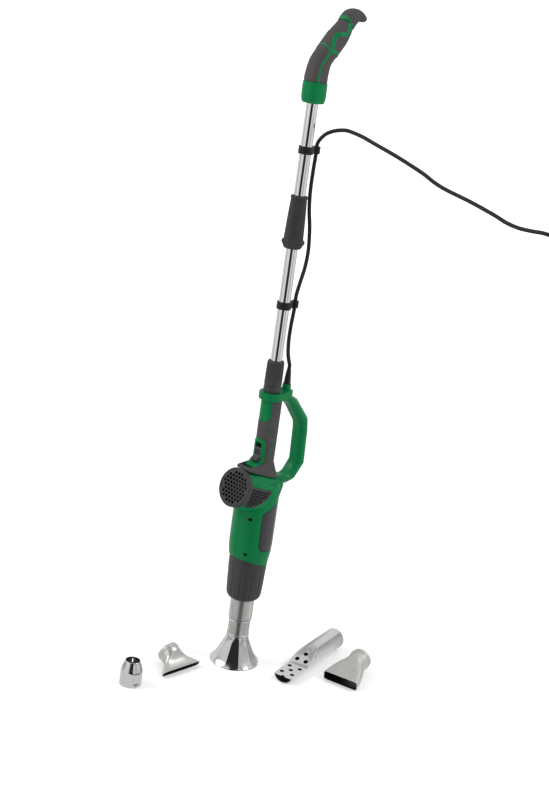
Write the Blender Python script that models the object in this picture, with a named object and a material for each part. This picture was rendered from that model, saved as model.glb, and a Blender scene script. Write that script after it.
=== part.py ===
"""Electric hot-air weed burner: a hot-air gun on a pole, standing on its bell nozzle, with its four other nozzles.

Metres, +Z up. The gun's own axis is vertical. The air intake and the switch face -Y, the loop handle and
the cord are on the +Y side, and the casing's two halves meet on the plane X = 0. Places below are measured
from the point where the gun's axis meets the ground. At the end everything moves sideways together, so that
the origin lies under the middle of the gun and its nozzles.
"""

import math

import bmesh
import bpy
import numpy as np
from mathutils import Matrix, Vector

for old in list(bpy.data.objects):
    bpy.data.objects.remove(old, do_unlink=True)

# ---------------------------------------------------------------- driving sizes
gap = 0.0003                  # between pieces that touch
round_steps = 20              # facets round a turned piece
wall = 0.0026                 # moulded wall of the casing
sheet = 0.0009                # sheet steel of the nozzles

# head: the tilted block that carries the air intake
head_tilt = math.radians(18)  # the intake looks this far up from level
head_height = 0.330           # middle of the intake above the ground
head_reach = 0.0590           # front of the intake cover ahead of the gun's axis
head_half_width = 0.0352
head_top = 0.0320             # from the middle of the intake up to the head's flat top
head_top_half = 0.0220        # half the width of that flat top
facet_low = 0.0136            # from the middle of the intake up to the lower edge of the two sloping facets
intake_radius = 0.0330
intake_hole = 0.0056
intake_pitch = 0.0084
cover_depth = 0.0085
cover_plate = 0.0024

# barrel
barrel_bottom = 0.187         # where the seam with the nose crosses the axis
barrel_radius = 0.0364
barrel_foot_radius = 0.0326
screw_heights = (0.211, head_height - 0.0560)
screw_forward = 0.0300
screw_head_radius = 0.0026
pad_bottom = 0.2120
pad_top = head_height - 0.0430
pad_front = 0.0160            # the dark rear pad starts this far ahead of the axis
mesh_hole = 0.0047
mesh_pitch = 0.0068

# nose and outlet
nose_bottom = 0.124
nose_radius_top = 0.0322
nose_radius_foot = 0.0296
nose_mouth_radius = 0.0225
nose_ribs = 12
outlet_radius = 0.0200
spigot_radius = 0.0171
collar_top = 0.0746           # upper end of the bell nozzle's collar

# bell nozzle
bell_height = 0.0440
bell_radius = 0.0425
bell_flutes = 10
bell_flute_depth = 0.0030

# stem with the soft grip
stem_back = 0.0030            # the stem's middle lies behind the gun's axis
stem_radius = 0.0147
grip_radius = 0.0172
grip_top = head_height + 0.1445
tongue_bottom = head_height + 0.1085
tongue_half_width = 0.0128
bezel_bottom = head_height + 0.0290
bezel_top = bezel_bottom + 0.0495
bezel_half_width = 0.0120
slot_half_width = 0.0068
slot_bottom = bezel_bottom + 0.0090
slider_length = 0.0240
slider_travel = 0.0090

# collar on top of the casing, with the cord's exit
collar_bottom = grip_top + 0.0005
collar_face = collar_bottom + 0.0120
collar_radius = 0.0205
gland_back = 0.0340
gland_radius = 0.0070
gland_height = 0.0095
relief_length = 0.0250

# loop handle
loop_width = 0.0280
loop_depth = 0.0195
loop_corner = 0.0055

# pole
tube_radius = 0.0095
tube_wall = 0.0010
socket_radius = 0.0122
socket_bottom = head_height + 0.1180
nut_radius = 0.0146
nut_length = 0.0530
joint_height = 0.7690         # where the lower tube ends and the upper one starts
sleeve_bottom = joint_height - 0.0420
sleeve_top = joint_height + 0.0420
sleeve_radius_foot = 0.0186
sleeve_radius_top = 0.0132
sleeve_ribs = 8
clip_heights = (0.6330, 0.8830)
clip_length = 0.0120
clip_wall = 0.0022

# top handle
handle_bottom = 0.9560
handle_collar_top = 0.9880

# cord
cord_diameter = 0.0064
cord_radius = cord_diameter / 2
coil_centre = (0.598, 0.205)
coil_radius = 0.0350          # at the middle of its turns
coil_pitch = 0.0070
coil_turns = 2                # in each of its two layers
coil_points = 20              # in a turn

# ---------------------------------------------------------------- materials
def linear(hex_colour):
    """a colour written as sRGB hex, as the linear values that a shader takes"""
    parts = [int(hex_colour[i:i + 2], 16) / 255 for i in (1, 3, 5)]
    return [c / 12.92 if c <= 0.04045 else ((c + 0.055) / 1.055) ** 2.4 for c in parts] + [1.0]


def material(name, colour, roughness, metallic=0.0):
    m = bpy.data.materials.new(name)
    m.use_nodes = True
    shader = m.node_tree.nodes["Principled BSDF"]
    shader.inputs["Base Color"].default_value = linear(colour)
    shader.inputs["Roughness"].default_value = roughness
    shader.inputs["Metallic"].default_value = metallic
    return m


green = material("green casing plastic", "#006b41", 0.38)
dark = material("dark soft grip", "#45413f", 0.62)
black = material("black plastic", "#2f2e2f", 0.48)
steel = material("polished stainless steel", "#c9cac8", 0.18, 1.0)
chrome = material("chromed tube", "#d9dadb", 0.08, 1.0)
mica = material("mica sheet", "#b9a98b", 0.55)
ceramic = material("heater ceramic", "#e2ded2", 0.6)
board = material("circuit board", "#1f5a3a", 0.5)
rubber = material("black cord rubber", "#1b1b1c", 0.55)

# ---------------------------------------------------------------- building blocks
tool = bpy.data.objects.new("tool", None)
bpy.context.collection.objects.link(tool)


def make(name, verts, faces, skin, parent=tool, crease=32):
    """one closed mesh object with its faces pointing out"""
    mesh = bpy.data.meshes.new(name)
    mesh.from_pydata([tuple(v) for v in verts], [], faces)
    bm = bmesh.new()
    bm.from_mesh(mesh)
    bmesh.ops.recalc_face_normals(bm, faces=bm.faces)
    if bm.calc_volume(signed=True) < 0:
        bmesh.ops.reverse_faces(bm, faces=bm.faces)
    bm.to_mesh(mesh)
    bm.free()
    mesh.shade_smooth()
    mesh.set_sharp_from_angle(angle=math.radians(crease))
    mesh.materials.append(skin)
    obj = bpy.data.objects.new(name, mesh)
    bpy.context.collection.objects.link(obj)
    obj.parent = parent
    return obj


def skinned(name, rings, skin, closed=False, parent=tool, crease=32):
    """a skin over rings of as many points each: capped at both ends, or closed into a loop"""
    n = len(rings[0])
    verts = [p for ring in rings for p in ring]
    faces = []
    for k in range(len(rings) if closed else len(rings) - 1):
        a, b = k * n, (k + 1) % len(rings) * n
        faces += [(a + i, a + (i + 1) % n, b + (i + 1) % n, b + i) for i in range(n)]
    if not closed:
        faces += [tuple(range(n)), tuple(range(len(verts) - 1, len(verts) - n - 1, -1))]
    return make(name, verts, faces, skin, parent, crease)


def circle(radius, height, centre=(0.0, 0.0), steps=round_steps):
    return [(centre[0] + radius * math.cos(a), centre[1] + radius * math.sin(a), height)
            for a in (2 * math.pi * k / steps for k in range(steps))]


def turned(name, profile, skin, hollow=False, centre=(0.0, 0.0), steps=round_steps, parent=tool, crease=32):
    """a turned piece from (radius, height) points: solid between its two ends, or a closed ring profile"""
    return skinned(name, [circle(r, z, centre, steps) for r, z in profile], skin, hollow, parent, crease)


def pipe(name, outer, inner, low, high, skin, centre=(0.0, 0.0), steps=round_steps, parent=tool):
    profile = [(outer, low), (outer, high), (inner, high), (inner, low)]
    return turned(name, profile, skin, True, centre, steps, parent)


def prism(name, outline, low, high, axis, skin, parent=tool):
    """an outline of (a, b) points pushed along X, Y or Z from low to high"""
    place = {"x": lambda a, b, t: (t, a, b), "y": lambda a, b, t: (a, t, b), "z": lambda a, b, t: (a, b, t)}[axis]
    return skinned(name, [[place(a, b, t) for a, b in outline] for t in (low, high)], skin, parent=parent)


def block(name, x, y, z, skin, parent=tool):
    """a box between two values on each axis"""
    return prism(name, [(x[0], y[0]), (x[1], y[0]), (x[1], y[1]), (x[0], y[1])], z[0], z[1], "z", skin, parent)


def boolean(target, other, operation):
    """a cut, join or overlap with another object, which stays as a guide"""
    other.hide_render = True
    other.display_type = "WIRE"
    mod = target.modifiers.new(operation.lower(), "BOOLEAN")
    mod.operation = operation
    mod.solver = "EXACT"
    mod.object = other
    return target


def settled(obj, name, skin, parent=tool, crease=32):
    """a new object with the mesh that the modifiers of another give"""
    bpy.context.view_layer.update()
    mesh = bpy.data.meshes.new_from_object(obj.evaluated_get(bpy.context.evaluated_depsgraph_get()))
    bm = bmesh.new()
    bm.from_mesh(mesh)
    bmesh.ops.remove_doubles(bm, verts=bm.verts, dist=1e-6)
    bmesh.ops.dissolve_degenerate(bm, edges=bm.edges, dist=1e-6)
    bm.to_mesh(mesh)
    bm.free()
    mesh.shade_smooth()
    mesh.set_sharp_from_angle(angle=math.radians(crease))
    mesh.materials.clear()
    mesh.materials.append(skin)
    copy = bpy.data.objects.new(name, mesh)
    bpy.context.collection.objects.link(copy)
    copy.parent = parent
    return copy


def guide(obj):
    obj.hide_render = True
    obj.display_type = "WIRE"
    return obj


def joined(name, meshes, skin):
    """separate shapes in one guide, for a pattern of cuts"""
    bm = bmesh.new()
    for obj in meshes:
        bm.from_mesh(obj.data)
        old = obj.data
        bpy.data.objects.remove(obj, do_unlink=True)
        bpy.data.meshes.remove(old)
    mesh = bpy.data.meshes.new(name)
    bm.to_mesh(mesh)
    bm.free()
    mesh.materials.append(skin)
    out = bpy.data.objects.new(name, mesh)
    bpy.context.collection.objects.link(out)
    out.parent = tool
    return guide(out)


def smooth_curve(points, samples, kept=()):
    """points on a smooth curve through the given points, closer together where it bends, the kept ones among them"""
    p = np.array([points[0], *points, points[-1]], float)
    dense = []
    for i in range(1, len(p) - 2):
        for t in np.linspace(0, 1, 24, endpoint=False):
            a, b, c, d = p[i - 1:i + 3]
            dense.append(0.5 * (2 * b + (c - a) * t + (2 * a - 5 * b + 4 * c - d) * t * t
                                + (3 * b - a - 3 * c + d) * t ** 3))
    dense = np.array([*dense, p[-1]])
    steps = np.diff(dense, axis=0)
    lengths = np.linalg.norm(steps, axis=1)
    ways = steps / lengths[:, None]
    bends = np.append(np.linalg.norm(np.diff(ways, axis=0), axis=1), 0)
    along = np.concatenate([[0], np.cumsum(lengths / 0.06 + bends / 0.22)])
    at = np.linspace(0, along[-1], samples)
    fixed = along[[24 * i for i in kept]]
    at = [t for t in at if not len(fixed) or min(abs(fixed - t)) > at[1] * 0.4]
    at = np.sort([*at, *fixed])
    return np.stack([np.interp(at, along, dense[:, k]) for k in range(3)], axis=1)


def cord(name, points, skin=rubber, resolution=2):
    """a round tube of the cord's diameter along points"""
    curve = bpy.data.curves.new(name, "CURVE")
    curve.dimensions = "3D"
    curve.bevel_depth = cord_radius
    curve.bevel_resolution = resolution
    curve.use_fill_caps = True
    line = curve.splines.new("POLY")
    line.points.add(len(points) - 1)
    for slot, p in zip(line.points, points):
        slot.co = (*p, 1.0)
    curve.materials.append(skin)
    obj = bpy.data.objects.new(name, curve)
    bpy.context.collection.objects.link(obj)
    obj.parent = tool
    return obj


# ---------------------------------------------------------------- the head's own frame
look = Vector((0, -math.cos(head_tilt), math.sin(head_tilt)))   # the way the intake looks
rise = Vector((0, math.sin(head_tilt), math.cos(head_tilt)))    # square to it, upwards
face_centre = Vector((0, -head_reach, head_height))


def in_head(x, up, ahead):
    """a point given across, up and ahead of the middle of the intake cover's face"""
    return face_centre + Vector((x, 0, 0)) + rise * up + look * ahead


def head_radius(angle, ahead):
    """the head's outline: round at the cover, with a flat top, two facets and flat sides further back"""
    lean = math.atan2(head_half_width - head_top_half, head_top - facet_low)
    facet = head_half_width * math.cos(lean) + facet_low * math.sin(lean)
    planes = [(math.pi / 2, head_top), (0.0, head_half_width), (math.pi, head_half_width),
              (lean, facet), (math.pi - lean, facet)]
    limits = [d / math.cos(angle - a) for a, d in planes if math.cos(angle - a) > 0.05]
    flat = min(limits + [0.0365])
    blend = min(1.0, max(0.0, -ahead / 0.020))
    return (1 - blend) * (intake_radius - 0.0005) + blend * flat


def head_ring(ahead, shrink=0.0, steps=28):
    ring = []
    for k in range(steps):
        a = 2 * math.pi * k / steps
        r = head_radius(a, ahead + cover_depth) - shrink
        x = r * math.cos(a)
        deep = -ahead - head_reach / math.cos(head_tilt)        # distance behind the gun's axis
        widest = math.sqrt(max(0.0001, barrel_radius ** 2 - max(0.0, deep) ** 2)) - shrink
        x = max(-widest, min(widest, x))
        ring.append(in_head(x, r * math.sin(a), ahead))
    return ring


# ---------------------------------------------------------------- casing
seam_slope = math.tan(head_tilt)
head_stations = (-cover_depth, -0.018, -0.028, -0.045, -0.064, -0.078, -0.088, -0.094)   # ahead of the cover's face


def build_casing():
    """the outside and the hollow of the casing as two closed shapes"""
    low = barrel_bottom - 0.020
    outside = turned("casing outside", [
        (barrel_foot_radius - 0.0006, low), (barrel_foot_radius, barrel_bottom), (0.0338, 0.198), (0.0356, 0.210),
        (barrel_radius, 0.226), (barrel_radius, head_height - 0.0080), (0.0352, head_height), (0.0300, head_height + 0.0040)], green)
    boolean(outside, skinned("head outside", [head_ring(a) for a in head_stations], green), "UNION")
    boolean(outside, turned("stem outside", [
        (stem_radius, head_height), (stem_radius, collar_face - 0.004)], green, centre=(0, stem_back)), "UNION")
    tongue = prism("tongue", [(-tongue_half_width, tongue_bottom + 0.006), (-0.0080, tongue_bottom),
                              (0.0080, tongue_bottom), (tongue_half_width, tongue_bottom + 0.006),
                              (tongue_half_width, collar_face - 0.003), (-tongue_half_width, collar_face - 0.003)],
                   -0.030, stem_back, "y", green)
    boolean(tongue, guide(turned("tongue round", [(grip_radius, tongue_bottom - 0.0185), (grip_radius, collar_face + 0.0030)], green,
                                 centre=(0, stem_back))), "INTERSECT")
    boolean(outside, tongue, "UNION")
    # collar plate with the stub that the cord leaves through
    plate = [(collar_radius * math.cos(a), collar_radius * math.sin(a)) for a in np.linspace(-math.pi, 0, 13)]
    back = gland_back
    plate += [(0.0125 * math.cos(a), back + 0.0105 * math.sin(a)) for a in np.linspace(0, math.pi, 9)]
    boolean(outside, prism("collar plate", plate, collar_bottom, collar_face, "z", green), "UNION")
    boolean(outside, turned("cord stub", [
        (gland_radius + 0.001, collar_face - 0.004), (gland_radius, collar_face + gland_height)],
        green, centre=(0, gland_back), steps=14), "UNION")
    boolean(outside, loop_handle(), "UNION")

    seam_cut = prism("nose seam", [(-0.06, 0.10), (0.06, 0.10), (0.06, barrel_bottom - 0.06 * seam_slope + gap),
                                   (-0.06, barrel_bottom + 0.06 * seam_slope + gap)], -0.06, 0.06, "x", green)
    boolean(outside, seam_cut, "DIFFERENCE")

    hollow = turned("casing hollow", [
        (barrel_foot_radius - wall, low - 0.02), (barrel_foot_radius - wall, barrel_bottom), (0.0356 - wall, 0.210),
        (barrel_radius - wall, 0.226), (barrel_radius - wall, head_height - 0.0120), (0.0230, head_height + 0.0010)], green)
    boolean(hollow, skinned("head hollow", [[in_head(0.0275 * math.cos(a), 0.0275 * math.sin(a), ahead)
                            for a in np.linspace(0, 2 * math.pi, 21)[:-1]] for ahead in (0.01, -0.050)], green), "UNION")
    boolean(hollow, turned("stem hollow", [
        (stem_radius - wall, head_height - 0.0050), (stem_radius - wall, socket_bottom + 0.0020)], green, centre=(0, stem_back)), "UNION")
    boolean(hollow, turned("socket seat", [
        (socket_radius + gap, socket_bottom - gap), (socket_radius + gap, collar_face + 0.0130)], green), "UNION")
    return outside, hollow


def loop_handle(room=0.0):
    """the loop behind the stem: a round-cornered band along bends in the plane X = 0, grown by some room"""
    upper = [(0.012, 0.0080, 0.0110), (0.034, 0.0125, 0.0125), (0.0500, 0.0230, 0.0160), (0.0660, 0.0405, loop_depth),
             (0.0775, 0.0540, loop_depth), (0.0815, 0.0630, loop_depth), (0.0825, 0.0750, loop_depth)]
    lower = [(0.0855, 0.0320, loop_depth), (0.0855, 0.0220, loop_depth), (0.0815, 0.0130, loop_depth),
             (0.0700, 0.0030, 0.0180), (0.0560, -0.0025, 0.0150), (0.0420, 0.0, 0.0120), (0.0250, 0.0030, 0.0120)]
    middle = [(y, collar_face - down, depth) for y, down, depth in upper]
    middle += [(y, head_height + up, depth) for y, up, depth in lower]
    rings = []
    for i, (y, z, depth) in enumerate(middle):
        a, b = middle[max(0, i - 1)], middle[min(len(middle) - 1, i + 1)]
        along = Vector((0, b[0] - a[0], b[1] - a[1])).normalized()
        across = Vector((0, -along.z, along.y))
        further = along * (room if i == len(middle) - 1 else -room if i == 0 else 0)
        ring = []
        for sx, sy, start in ((1, 1, 0), (-1, 1, 1), (-1, -1, 2), (1, -1, 3)):
            for t in (0, 1, 2):
                angle = (start + t / 2) * math.pi / 2
                corner = min(loop_corner, depth * 0.42)
                u = sx * (loop_width / 2 - corner) + (corner + room) * math.cos(angle)
                v = sy * (depth / 2 - corner) + (corner + room) * math.sin(angle)
                ring.append(Vector((u, y, z)) + further + across * v)
        rings.append(ring)
    return skinned("loop", rings, green)


outside, hollow = build_casing()
guide(outside)
guide(hollow)
shell = settled(boolean(guide(settled(outside, "shell stage", green)), hollow, "DIFFERENCE"), "shell", green)
guide(shell)

# windows, in side view as (Y, Z)
mesh_window = [(y, head_height + up) for y, up in (
    (-0.0520, 0.0105), (-0.0040, -0.0045), (-0.0090, -0.0150), (-0.0260, -0.0240), (-0.0400, -0.0295),
    (-0.0490, -0.0305), (-0.0560, -0.0240))]
pad_window = [(-pad_front, pad_bottom + 0.012), (-pad_front + 0.004, pad_bottom + 0.004),
              (-pad_front + 0.012, pad_bottom), (0.045, pad_bottom - 0.012), (0.045, pad_top + 0.032),
              (0.014, pad_top + 0.0150), (-0.004, pad_top + 0.0050), (-pad_front, pad_top - 0.002)]


def inset(outline, distance):
    """an outline drawn in by a distance, corner by corner"""
    n, out = len(outline), []
    turn = sum(outline[i][0] * outline[(i + 1) % n][1] - outline[(i + 1) % n][0] * outline[i][1] for i in range(n))
    sign = 1 if turn > 0 else -1
    for i in range(n):
        a, b, c = (Vector(outline[(i + k) % n]) for k in (-1, 0, 1))
        n1, n2 = (Vector((-(q - p).y, (q - p).x)).normalized() * sign for p, q in ((a, b), (b, c)))
        mid = (n1 + n2).normalized()
        out.append(tuple(b + mid * distance / max(0.4, mid.dot(n1))))
    return out


for side, sign in (("left", -1), ("right", 1)):
    near, far = gap / 2 * sign, 0.08 * sign
    half = block(f"{side} half space", sorted((near, far)), (-0.12, 0.15), (0.05, 0.60), green)
    mesh_prism = prism(f"{side} mesh prism", mesh_window, *sorted((0.018 * sign, 0.06 * sign)), "x", green)
    pad_prism = prism(f"{side} pad prism", pad_window, *sorted((near, far)), "x", green)
    housing = settled(shell, f"housing_{side}", green)
    for cutter, how in ((half, "INTERSECT"), (mesh_prism, "DIFFERENCE"), (pad_prism, "DIFFERENCE")):
        boolean(housing, cutter, how)
    # panel with small round holes in the head's side
    grille = settled(shell, f"side_grille_{side}", black)
    boolean(grille, guide(prism(f"{side} grille edge", inset(mesh_window, gap),
                                *sorted((0.018 * sign, 0.06 * sign)), "x", black)), "INTERSECT")
    holes = []
    edge = inset(mesh_window, mesh_hole * 0.62)
    for row in range(-8, 9):
        for col in range(-12, 12):
            y = -0.028 + mesh_pitch * (col + 0.5 * (row % 2))
            z = head_height - 0.0120 + mesh_pitch * 0.866 * row - (y + 0.028) * seam_slope
            inside = all((edge[(i + 1) % len(edge)][0] - p[0]) * (z - p[1])
                         - (edge[(i + 1) % len(edge)][1] - p[1]) * (y - p[0]) < 0 for i, p in enumerate(edge))
            if inside:
                outline = [(y + mesh_hole / 2 * math.cos(a), z + mesh_hole / 2 * math.sin(a))
                           for a in (math.pi * k / 2 for k in range(4))]
                holes.append(prism("mesh hole", outline, *sorted((0.010 * sign, 0.070 * sign)), "x", black))
    boolean(grille, joined(f"{side} mesh holes", holes, black), "DIFFERENCE")
    # soft pad round the back of the barrel
    pad = settled(shell, f"rear_pad_{side}", dark)
    boolean(pad, guide(prism(f"{side} pad edge", inset(pad_window, gap), *sorted((near, far)), "x", dark)), "INTERSECT")
    boolean(pad, half, "INTERSECT")

# screws through the right half into bosses on the left one
screw_shank = 0.0015
boss_half_length = 0.0165
for k, height in enumerate(screw_heights, 1):
    boss = [(-screw_forward + 0.0042 * math.cos(a), height + 0.0042 * math.sin(a))
            for a in (2 * math.pi * i / 12 for i in range(12))]
    bore = [(-screw_forward + (screw_shank + gap) * math.cos(a), height + (screw_shank + gap) * math.sin(a))
            for a in (2 * math.pi * i / 10 for i in range(10))]
    well = [(-screw_forward + (screw_head_radius + gap) * math.cos(a), height + (screw_head_radius + gap) * math.sin(a))
            for a in (2 * math.pi * i / 14 for i in range(14))]
    for side, sign in (("left", -1), ("right", 1)):
        housing = bpy.data.objects[f"housing_{side}"]
        boolean(housing, guide(prism(f"boss {side} {k}", boss, *sorted((gap / 2 * sign, 0.0190 * sign)),
                                     "x", green)), "UNION")
        if side == "right":
            boolean(housing, guide(prism(f"well {k}", well, boss_half_length, 0.05, "x", green)), "DIFFERENCE")
        boolean(housing, guide(prism(f"bore {side} {k}", bore, *sorted((-0.001 * sign, 0.0175 * sign)),
                                     "x", green)), "DIFFERENCE")
    screw = prism(f"housing_screw_{k}", [(-screw_forward + screw_head_radius * math.cos(a),
                  height + screw_head_radius * math.sin(a)) for a in (2 * math.pi * i / 14 for i in range(14))],
                  boss_half_length + gap, boss_half_length + 0.0022, "x", steel)
    boolean(screw, guide(prism(f"shank {k}", [(-screw_forward + screw_shank * math.cos(a),
            height + screw_shank * math.sin(a)) for a in (2 * math.pi * i / 10 for i in range(10))],
            -boss_half_length, boss_half_length + 0.001, "x", steel)), "UNION")


# ---------------------------------------------------------------- soft grip over the stem and the head's flat top
def roof(y):
    """height of the head's flat top at a place along Y"""
    start = in_head(0, head_top + gap, 0)
    return start.z - (y - start.y) * math.tan(head_tilt)


def skirt_ring(lift, blend, steps=28):
    ring = []
    for k in range(steps):
        a = 2 * math.pi * k / steps
        c, s = math.cos(a), math.sin(a)
        bulge = (abs(c) ** 4 + abs(s) ** 4) ** -0.25
        flat = Vector(((head_top_half - 0.001) * bulge * c, -0.0085 + 0.0365 * bulge * s, 0))
        flat.z = roof(flat.y) + lift
        top = Vector((grip_radius * c, stem_back + grip_radius * s, head_height + 0.0380))
        ring.append(flat.lerp(top, blend))
    return ring


def bezel_outline(room=0.0):
    """front view (X, Z) of the switch's surround, with its corners cut"""
    w, low, high, cut = bezel_half_width + room, bezel_bottom - room, bezel_top + room, 0.005
    return [(-w, low), (w, low), (w, high - cut), (w - cut, high), (cut - w, high), (-w, high - cut)]


def foot_outline(room=0.0):
    """side view (Y, Z) of the surround's foot, which slopes down towards the intake"""
    return [(-0.0120, bezel_bottom + 0.0150 + room), (-0.0186 - room, bezel_bottom + 0.0085 + room),
            (-0.0275 - room, bezel_bottom + 0.0040),
            (-0.0275 - room, bezel_bottom + 0.0005 - room), (-0.0120, bezel_bottom + 0.0005 - room)]


grip = turned("grip stage", [(grip_radius, head_height + 0.0340), (grip_radius, grip_top - 0.001), (grip_radius - 0.001, grip_top)],
              dark, centre=(0, stem_back))
boolean(grip, guide(skinned("skirt", [skirt_ring(0, 0), skirt_ring(0.0024, 0), skirt_ring(0.0040, 0.12),
                            skirt_ring(0.0030, 0.55), skirt_ring(0.0010, 0.85), skirt_ring(0, 1)], dark)), "UNION")
boolean(grip, guide(turned("grip bore", [(stem_radius + gap, head_height - 0.0100), (stem_radius + gap, grip_top + 0.0055)], dark,
                           centre=(0, stem_back))), "DIFFERENCE")
boolean(grip, guide(skinned("head room", [head_ring(a, -gap) for a in (
    gap - cover_depth, *head_stations[1:], head_stations[-1] - gap)], dark)), "DIFFERENCE")
boolean(grip, guide(skinned("cover room", [[in_head((intake_radius + gap) * math.cos(a), (intake_radius + gap) * math.sin(a),
        ahead) for a in np.linspace(0, 2 * math.pi, 29)[:-1]] for ahead in (0.01, -cover_depth)], dark)), "DIFFERENCE")
boolean(grip, guide(loop_handle(gap)), "DIFFERENCE")
tongue_room = [(-tongue_half_width - gap, tongue_bottom + 0.006 - gap), (-0.0080 - gap / 2, tongue_bottom - gap),
               (0.0080 + gap / 2, tongue_bottom - gap), (tongue_half_width + gap, tongue_bottom + 0.006 - gap),
               (tongue_half_width + gap, collar_face + 0.0030), (-tongue_half_width - gap, collar_face + 0.0030)]
boolean(grip, guide(prism("tongue room", tongue_room, -0.04, stem_back + gap, "y", dark)), "DIFFERENCE")
boolean(grip, guide(prism("bezel room", bezel_outline(gap), -0.04, stem_back, "y", dark)), "DIFFERENCE")
boolean(grip, guide(prism("foot room", foot_outline(gap), -bezel_half_width - gap, bezel_half_width + gap, "x",
                          dark)), "DIFFERENCE")
grip_mesh = guide(settled(guide(grip), "grip whole", dark))
for side in ("left", "right"):
    boolean(settled(grip_mesh, f"grip_{side}", dark), bpy.data.objects[f"{side} half space"], "INTERSECT")

# ---------------------------------------------------------------- switch
slot_top = slot_bottom + slider_length + slider_travel + 2 * gap
bezel = prism("switch_bezel", bezel_outline(), -0.04, stem_back - gap, "y", green)
boolean(bezel, guide(turned("bezel round", [(grip_radius + 0.0014, bezel_bottom - 0.0190), (grip_radius + 0.0014, bezel_top + 0.0115)], green,
                            centre=(0, stem_back))), "INTERSECT")
boolean(bezel, guide(prism("bezel foot", foot_outline(), -bezel_half_width, bezel_half_width, "x", green)), "UNION")
boolean(bezel, guide(turned("bezel bore", [(stem_radius + gap, bezel_bottom - 0.0390), (stem_radius + gap, bezel_top + 0.0215)], green,
                            centre=(0, stem_back))), "DIFFERENCE")
slot = guide(block("switch slot", (-slot_half_width, slot_half_width), (-0.05, -0.004), (slot_bottom, slot_top), green))
boolean(bezel, slot, "DIFFERENCE")
for side in ("left", "right"):
    boolean(bpy.data.objects[f"housing_{side}"], slot, "DIFFERENCE")

switch_face = -0.0062         # front of the switch's body inside the stem
slider_at = slot_bottom + gap
prism("switch_slider", [(switch_face - gap, slider_at), (-0.0165, slider_at), (-0.0220, slider_at + 0.0022),
                        (-0.0226, slider_at + 0.0052), (-0.0165, slider_at + 0.0090), (-0.0148, slider_at + 0.0110),
                        (-0.0148, slider_at + slider_length - 0.002), (-0.0132, slider_at + slider_length),
                        (switch_face - gap, slider_at + slider_length)],
      -slot_half_width + gap, slot_half_width - gap, "x", black)
block("switch_body", (-0.0062, 0.0062), (switch_face, 0.0132), (slot_bottom - 0.006, slot_top + 0.006), black)


# ---------------------------------------------------------------- intake cover
def intake_cover():
    back, plate = -cover_depth + gap, -cover_plate - 0.0008
    cover = skinned("intake_cover", [[in_head(r * math.cos(a), r * math.sin(a), ahead)
                    for a in np.linspace(0, 2 * math.pi, 29)[:-1]] for r, ahead in (
                    (intake_radius - 0.0036, plate), (intake_radius - 0.0036, back), (intake_radius, back),
                    (intake_radius, -0.0016), (intake_radius - 0.0016, 0), (intake_radius - 0.0034, 0),
                    (intake_radius - 0.0040, -0.0008))], black)
    holes = []
    rows = int(intake_radius / (intake_pitch * 0.866))
    for row in range(-rows, rows + 1):
        for col in range(-rows - 1, rows + 2):
            x, up = intake_pitch * (col + 0.5 * (row % 2)), intake_pitch * 0.866 * row
            if math.hypot(x, up) + intake_hole / 2 < intake_radius - 0.0046:
                holes.append(skinned("cover hole", [[in_head(x + intake_hole / 2 * math.cos(a),
                             up + intake_hole / 2 * math.sin(a), ahead) for a in (math.pi * (k + 0.5) / 2
                             for k in range(4))] for ahead in (0.003, -0.006)], black))
    boolean(cover, joined("cover holes", holes, black), "DIFFERENCE")
    return cover


intake_cover()


# ---------------------------------------------------------------- nose, outlet and what is inside
def ribbed(radius, height, depth):
    steps = nose_ribs * 3
    return [((radius - depth * (k % 3 == 0)) * math.cos(2 * math.pi * k / steps),
             (radius - depth * (k % 3 == 0)) * math.sin(2 * math.pi * k / steps), height) for k in range(steps)]


nose = skinned("nose_shell", [
    ribbed(nose_mouth_radius, nose_bottom, 0), ribbed(nose_radius_foot - 0.002, nose_bottom + 0.0045, 0),
    ribbed(nose_radius_foot, nose_bottom + 0.009, 0.0007), ribbed(nose_radius_top - 0.0006, 0.172, 0.0007),
    ribbed(nose_radius_top, 0.176, 0), ribbed(nose_radius_top, 0.2120, 0), ribbed(nose_radius_top - wall, 0.2120, 0),
    ribbed(nose_radius_foot - wall, nose_bottom + 0.012, 0), ribbed(outlet_radius + gap, nose_bottom + 0.008, 0),
    ribbed(outlet_radius + gap, nose_bottom, 0)], black, closed=True, crease=20)
seam_room = [(-0.06, 0.25), (0.06, 0.25), (0.06, barrel_bottom - 0.06 * seam_slope),
             (-0.06, barrel_bottom + 0.06 * seam_slope)]
boolean(nose, guide(prism("seam room", seam_room, -0.06, 0.06, "x", black)), "DIFFERENCE")

step = collar_top + 0.0012
outlet_wall = 0.0009
turned("outlet_tube", [
    (spigot_radius, 0.0480), (spigot_radius, step), (outlet_radius, step), (outlet_radius, 0.1760),
    (outlet_radius - outlet_wall, 0.1760), (outlet_radius - outlet_wall, step + outlet_wall),
    (spigot_radius - outlet_wall, step + outlet_wall), (spigot_radius - outlet_wall, 0.0480)], steel, True)
mica_outer = outlet_radius - outlet_wall - gap
pipe("mica_sleeve", mica_outer, mica_outer - 0.0006, step + outlet_wall + gap, 0.1740, mica)
lobes = [((mica_outer - 0.0009 if k % 4 < 2 else 0.0095) * math.cos(math.pi * k / 12),
          (mica_outer - 0.0009 if k % 4 < 2 else 0.0095) * math.sin(math.pi * k / 12)) for k in range(24)]
prism("heater_core", lobes, step + outlet_wall + gap, 0.1730, "z", ceramic)
turned("thermal_cutout", [(0.0040, 0.1733), (0.0040, 0.1800), (0.0030, 0.1806)], steel, steps=16)

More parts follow.
